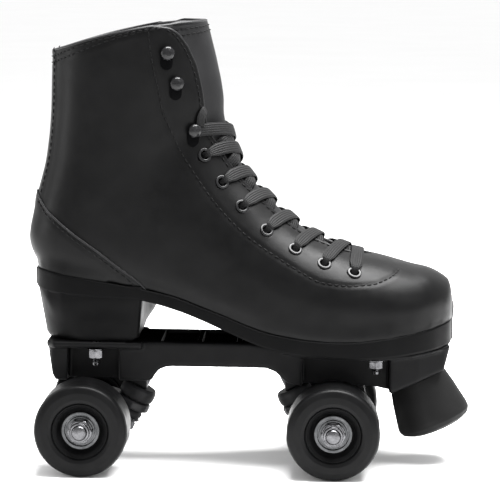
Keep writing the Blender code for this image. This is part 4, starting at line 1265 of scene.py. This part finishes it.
def make_wheel(end, label):
    """A tyre cast on its hub, with a bearing in each face."""
    sign = SIDES[label]
    body = f"wheel_{end}_{label}"
    centre = place(ENDS[end] * AXLE_X, sign * WHEEL_Y, WHEEL_RADIUS)
    way = Vector((0, sign, 0))
    tyre = mirrored(rounded([(15.8, 0.0), (15.8, 14.5, 0.3), (16.8, 16.0, 0.8), (18.6, 16.5, 1.6),
                             (22.6, 16.35, 3.0), (26.1, 15.2, 2.6), (27.0, 12.0, 3.0), (27.0, 0.0)],
                            steps=7, closed=False)[::-1])
    one_turned(f"tyre_{end}_{label}", tyre, centre, way, URETHANE,
               body, "wheel_urethane", f"wheel_{end}_{label}", steps=128)
    hub = mirrored(rounded([(9.0, 0.0), (9.0, 4.4), (11.05, 4.4), (11.05, 10.2, 0.2), (11.8, 10.4, 0.6),
                            (13.6, 13.4, 2.2), (15.75, 15.2, 0.6), (16.1, 14.4), (16.1, 0.0)],
                           steps=5, closed=False)[::-1])
    one_turned(f"hub_{end}_{label}", hub, centre, way, HUB_NYLON, body, "wheel_urethane", steps=96)
    race = mirrored(rounded([(4.05, 0.0), (4.05, 3.5, 0.25), (5.6, 3.5, 0.2), (5.7, 1.9),
                             (6.5, 1.9), (6.6, 3.0, 0.1), (8.2, 2.95, 0.15), (8.3, 1.8),
                             (9.1, 1.8), (9.2, 3.5, 0.15), (11.0, 3.5, 0.35), (11.0, 0.0)],
                            steps=3, closed=False)[::-1])
    for row, outset in (("outer", BEARING_OUTSET), ("inner", -BEARING_OUTSET)):
        one_turned(f"ball_race_{row}_{end}_{label}", race, centre + way * outset * MM, way, BEARING_STEEL,
                   body, "bearing_steel", f"bearing_{row}_{end}_{label}", steps=96)


def stop_point(down):
    """The point of the toe stop's axis at a distance down from the plate."""
    axis = Vector((sin(STOP_LEAN), 0.0, -cos(STOP_LEAN)))
    return place(STOP_TOP[0], 0.0, STOP_TOP[1]) + axis * down * MM


def make_toe_stop():
    """The rubber stop on its stud, whose nut and socket show underneath."""
    up = (stop_point(-1.0) - stop_point(0.0)).normalized()
    profile = rounded([(4.7, 0.0), (17.0, 0.0, 0.9), (19.4, -10.0, 12.0), (22.0, -24.0, 2.0),
                       (22.2, -27.0, 1.6), (21.0, -29.6, 1.6), (17.0, -31.6, 2.0), (9.8, -32.6, 0.7),
                       (9.5, -24.0), (4.7, -24.0)], steps=6)
    one_turned("toe_stop_rubber", profile, stop_point(0.6), up, STOP_RUBBER,
               "chassis", "stop_rubber", "toe_stop", steps=128)
    shape = Shape()
    shank = [(0.0, 15.0), (3.6, 15.0)] + thread_profile(4.2, -6.0, 14.6)
    shank += [(4.2, -6.2), (4.2, -24.6), (0.0, -24.6)]
    add_turned(shape, shank, stop_point(0.6), up, steps=40, closed=False)
    add_nut(shape, 6.5, 5.2, 3.2, stop_point(30.2), up)
    socket = rounded([(0.0, 0.8), (3.3, 0.8), (3.3, 0.0), (0.0, 0.0)], closed=False)
    add_turned(shape, socket, stop_point(29.0), up, steps=30, closed=False)
    zinc_part(shape, "toe_stop_stud", "chassis", "toe_stop_bolt")


BOLT_TOP = 73.0


def make_mounting_bolt(where):
    """One bolt through the plate, with its flange nut under it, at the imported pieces' places."""
    low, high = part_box(f"mounting_nut_{where}")
    bolt_low, bolt_high = (corner.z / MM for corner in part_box(f"mounting_bolt_{where}"))
    middle = (low + high) / 2
    shape = Shape()
    top = Vector((middle.x, middle.y, high.z))
    down = Vector((0, 0, -1))
    flange = rounded([(2.3, 0.0), (4.9, 0.0, 0.2), (4.9, 0.8, 0.3), (2.3, 1.1)], steps=3)
    add_turned(shape, flange, top, down, steps=48)
    add_nut(shape, 3.7, (high.z - low.z) / MM - 0.9, 2.1, top + down * 0.9 * MM, down)
    zinc_part(shape, f"flange_nut_{where}", "chassis", f"mounting_nut_{where}")
    length = min(bolt_high, BOLT_TOP) - bolt_low
    profile = [(0.0, length), (2.0, length), (2.1, length - 0.3)]
    profile += thread_profile(2.15, 0.6, length - 1.0, pitch=0.8, depth=0.28)
    profile += [(1.7, 0.0), (0.0, 0.0)]
    one_turned(f"machine_bolt_{where}", profile, Vector((middle.x, middle.y, bolt_low * MM)), -down, ZINC,
               "chassis", "zinc_steel", f"mounting_bolt_{where}", steps=32, closed=False)


# ---------------------------------------------------------------- stage, in metres
FLOOR_REACH = 40.0


def make_camera():
    """The camera on the skate's lateral side, a little towards its toe and above it."""
    azimuth, elevation, roll = radians(2.0), radians(7.4), radians(0.483)
    target = Vector((-0.00077, 0.0, 0.12502))
    distance = 1.375
    back = Vector((sin(azimuth) * cos(elevation), -cos(azimuth) * cos(elevation), sin(elevation)))
    lens = bpy.data.cameras.new("camera")
    lens.lens = 166.7
    lens.sensor_width = 36.0
    lens.clip_start = 0.05
    lens.clip_end = 200.0
    camera = linked("camera", lens)
    camera.location = target + back * distance
    camera.rotation_mode = "QUATERNION"
    camera.rotation_quaternion = (-back).to_track_quat("-Z", "Y") @ Quaternion((0, 0, 1), roll)
    bpy.context.scene.camera = camera


def area_light(name, location, target, size, radiance):
    """A soft rectangular light that faces its target and isn't seen itself."""
    data = bpy.data.lights.new(name, "AREA")
    data.shape = "RECTANGLE"
    data.size, data.size_y = size
    data.energy = radiance * pi * size[0] * size[1]
    light = linked(name, data)
    light.location = location
    light.rotation_mode = "QUATERNION"
    way = Vector(target) - Vector(location)
    light.rotation_quaternion = way.to_track_quat("-Z", "Y")
    light.visible_camera = False


def make_stage():
    """The floor, the white world and three soft lights."""
    shape = Shape()
    span = np.linspace(-FLOOR_REACH, FLOOR_REACH, 9)
    shape.grid([[(x, y, 0.0) for y in span] for x in span])
    floor = shape.build("studio_floor", FLOOR)
    world = bpy.data.worlds.new("studio")
    bpy.context.scene.world = world
    world.use_nodes = True
    backdrop = world.node_tree.nodes["Background"]
    backdrop.inputs["Color"].default_value = (1.0, 1.0, 1.0, 1.0)
    backdrop.inputs["Strength"].default_value = 1.06
    area_light("overhead", (0.20, 0.03, 1.05), (0.05, 0.0, 0.1), (0.8, 0.8), 31.0)
    area_light("rear_strip", (-1.3, -0.05, 0.32), (-0.08, 0.0, 0.17), (0.35, 0.9), 5.0)
    area_light("front_strip", (1.2, -0.7, 0.8), (0.08, 0.0, 0.1), (0.5, 0.5), 3.0)
    bpy.context.scene.view_settings.view_transform = "Standard"


make_camera()
make_stage()
make_upper()
make_bindings()
make_stitching()
make_tongue()
make_insole()
make_eyelets()
make_hooks()
make_lace()
make_sole()
make_heel()
remade("plate_moulding", "plate", 0.8, NYLON, "chassis", "plate_nylon", wells=True)
for truck in ENDS:
    make_stack(truck)
    remade(f"hanger_casting_{truck}", f"hanger_{truck}", 0.6, POWDER_COAT, f"truck_{truck}",
           "hanger_metal", passes=6)
    make_axle(truck)
    for side in SIDES:
        make_wheel(truck, side)
make_toe_stop()
for node in NODES:
    if node.startswith("mounting_nut_"):
        make_mounting_bolt(node.removeprefix("mounting_nut_"))
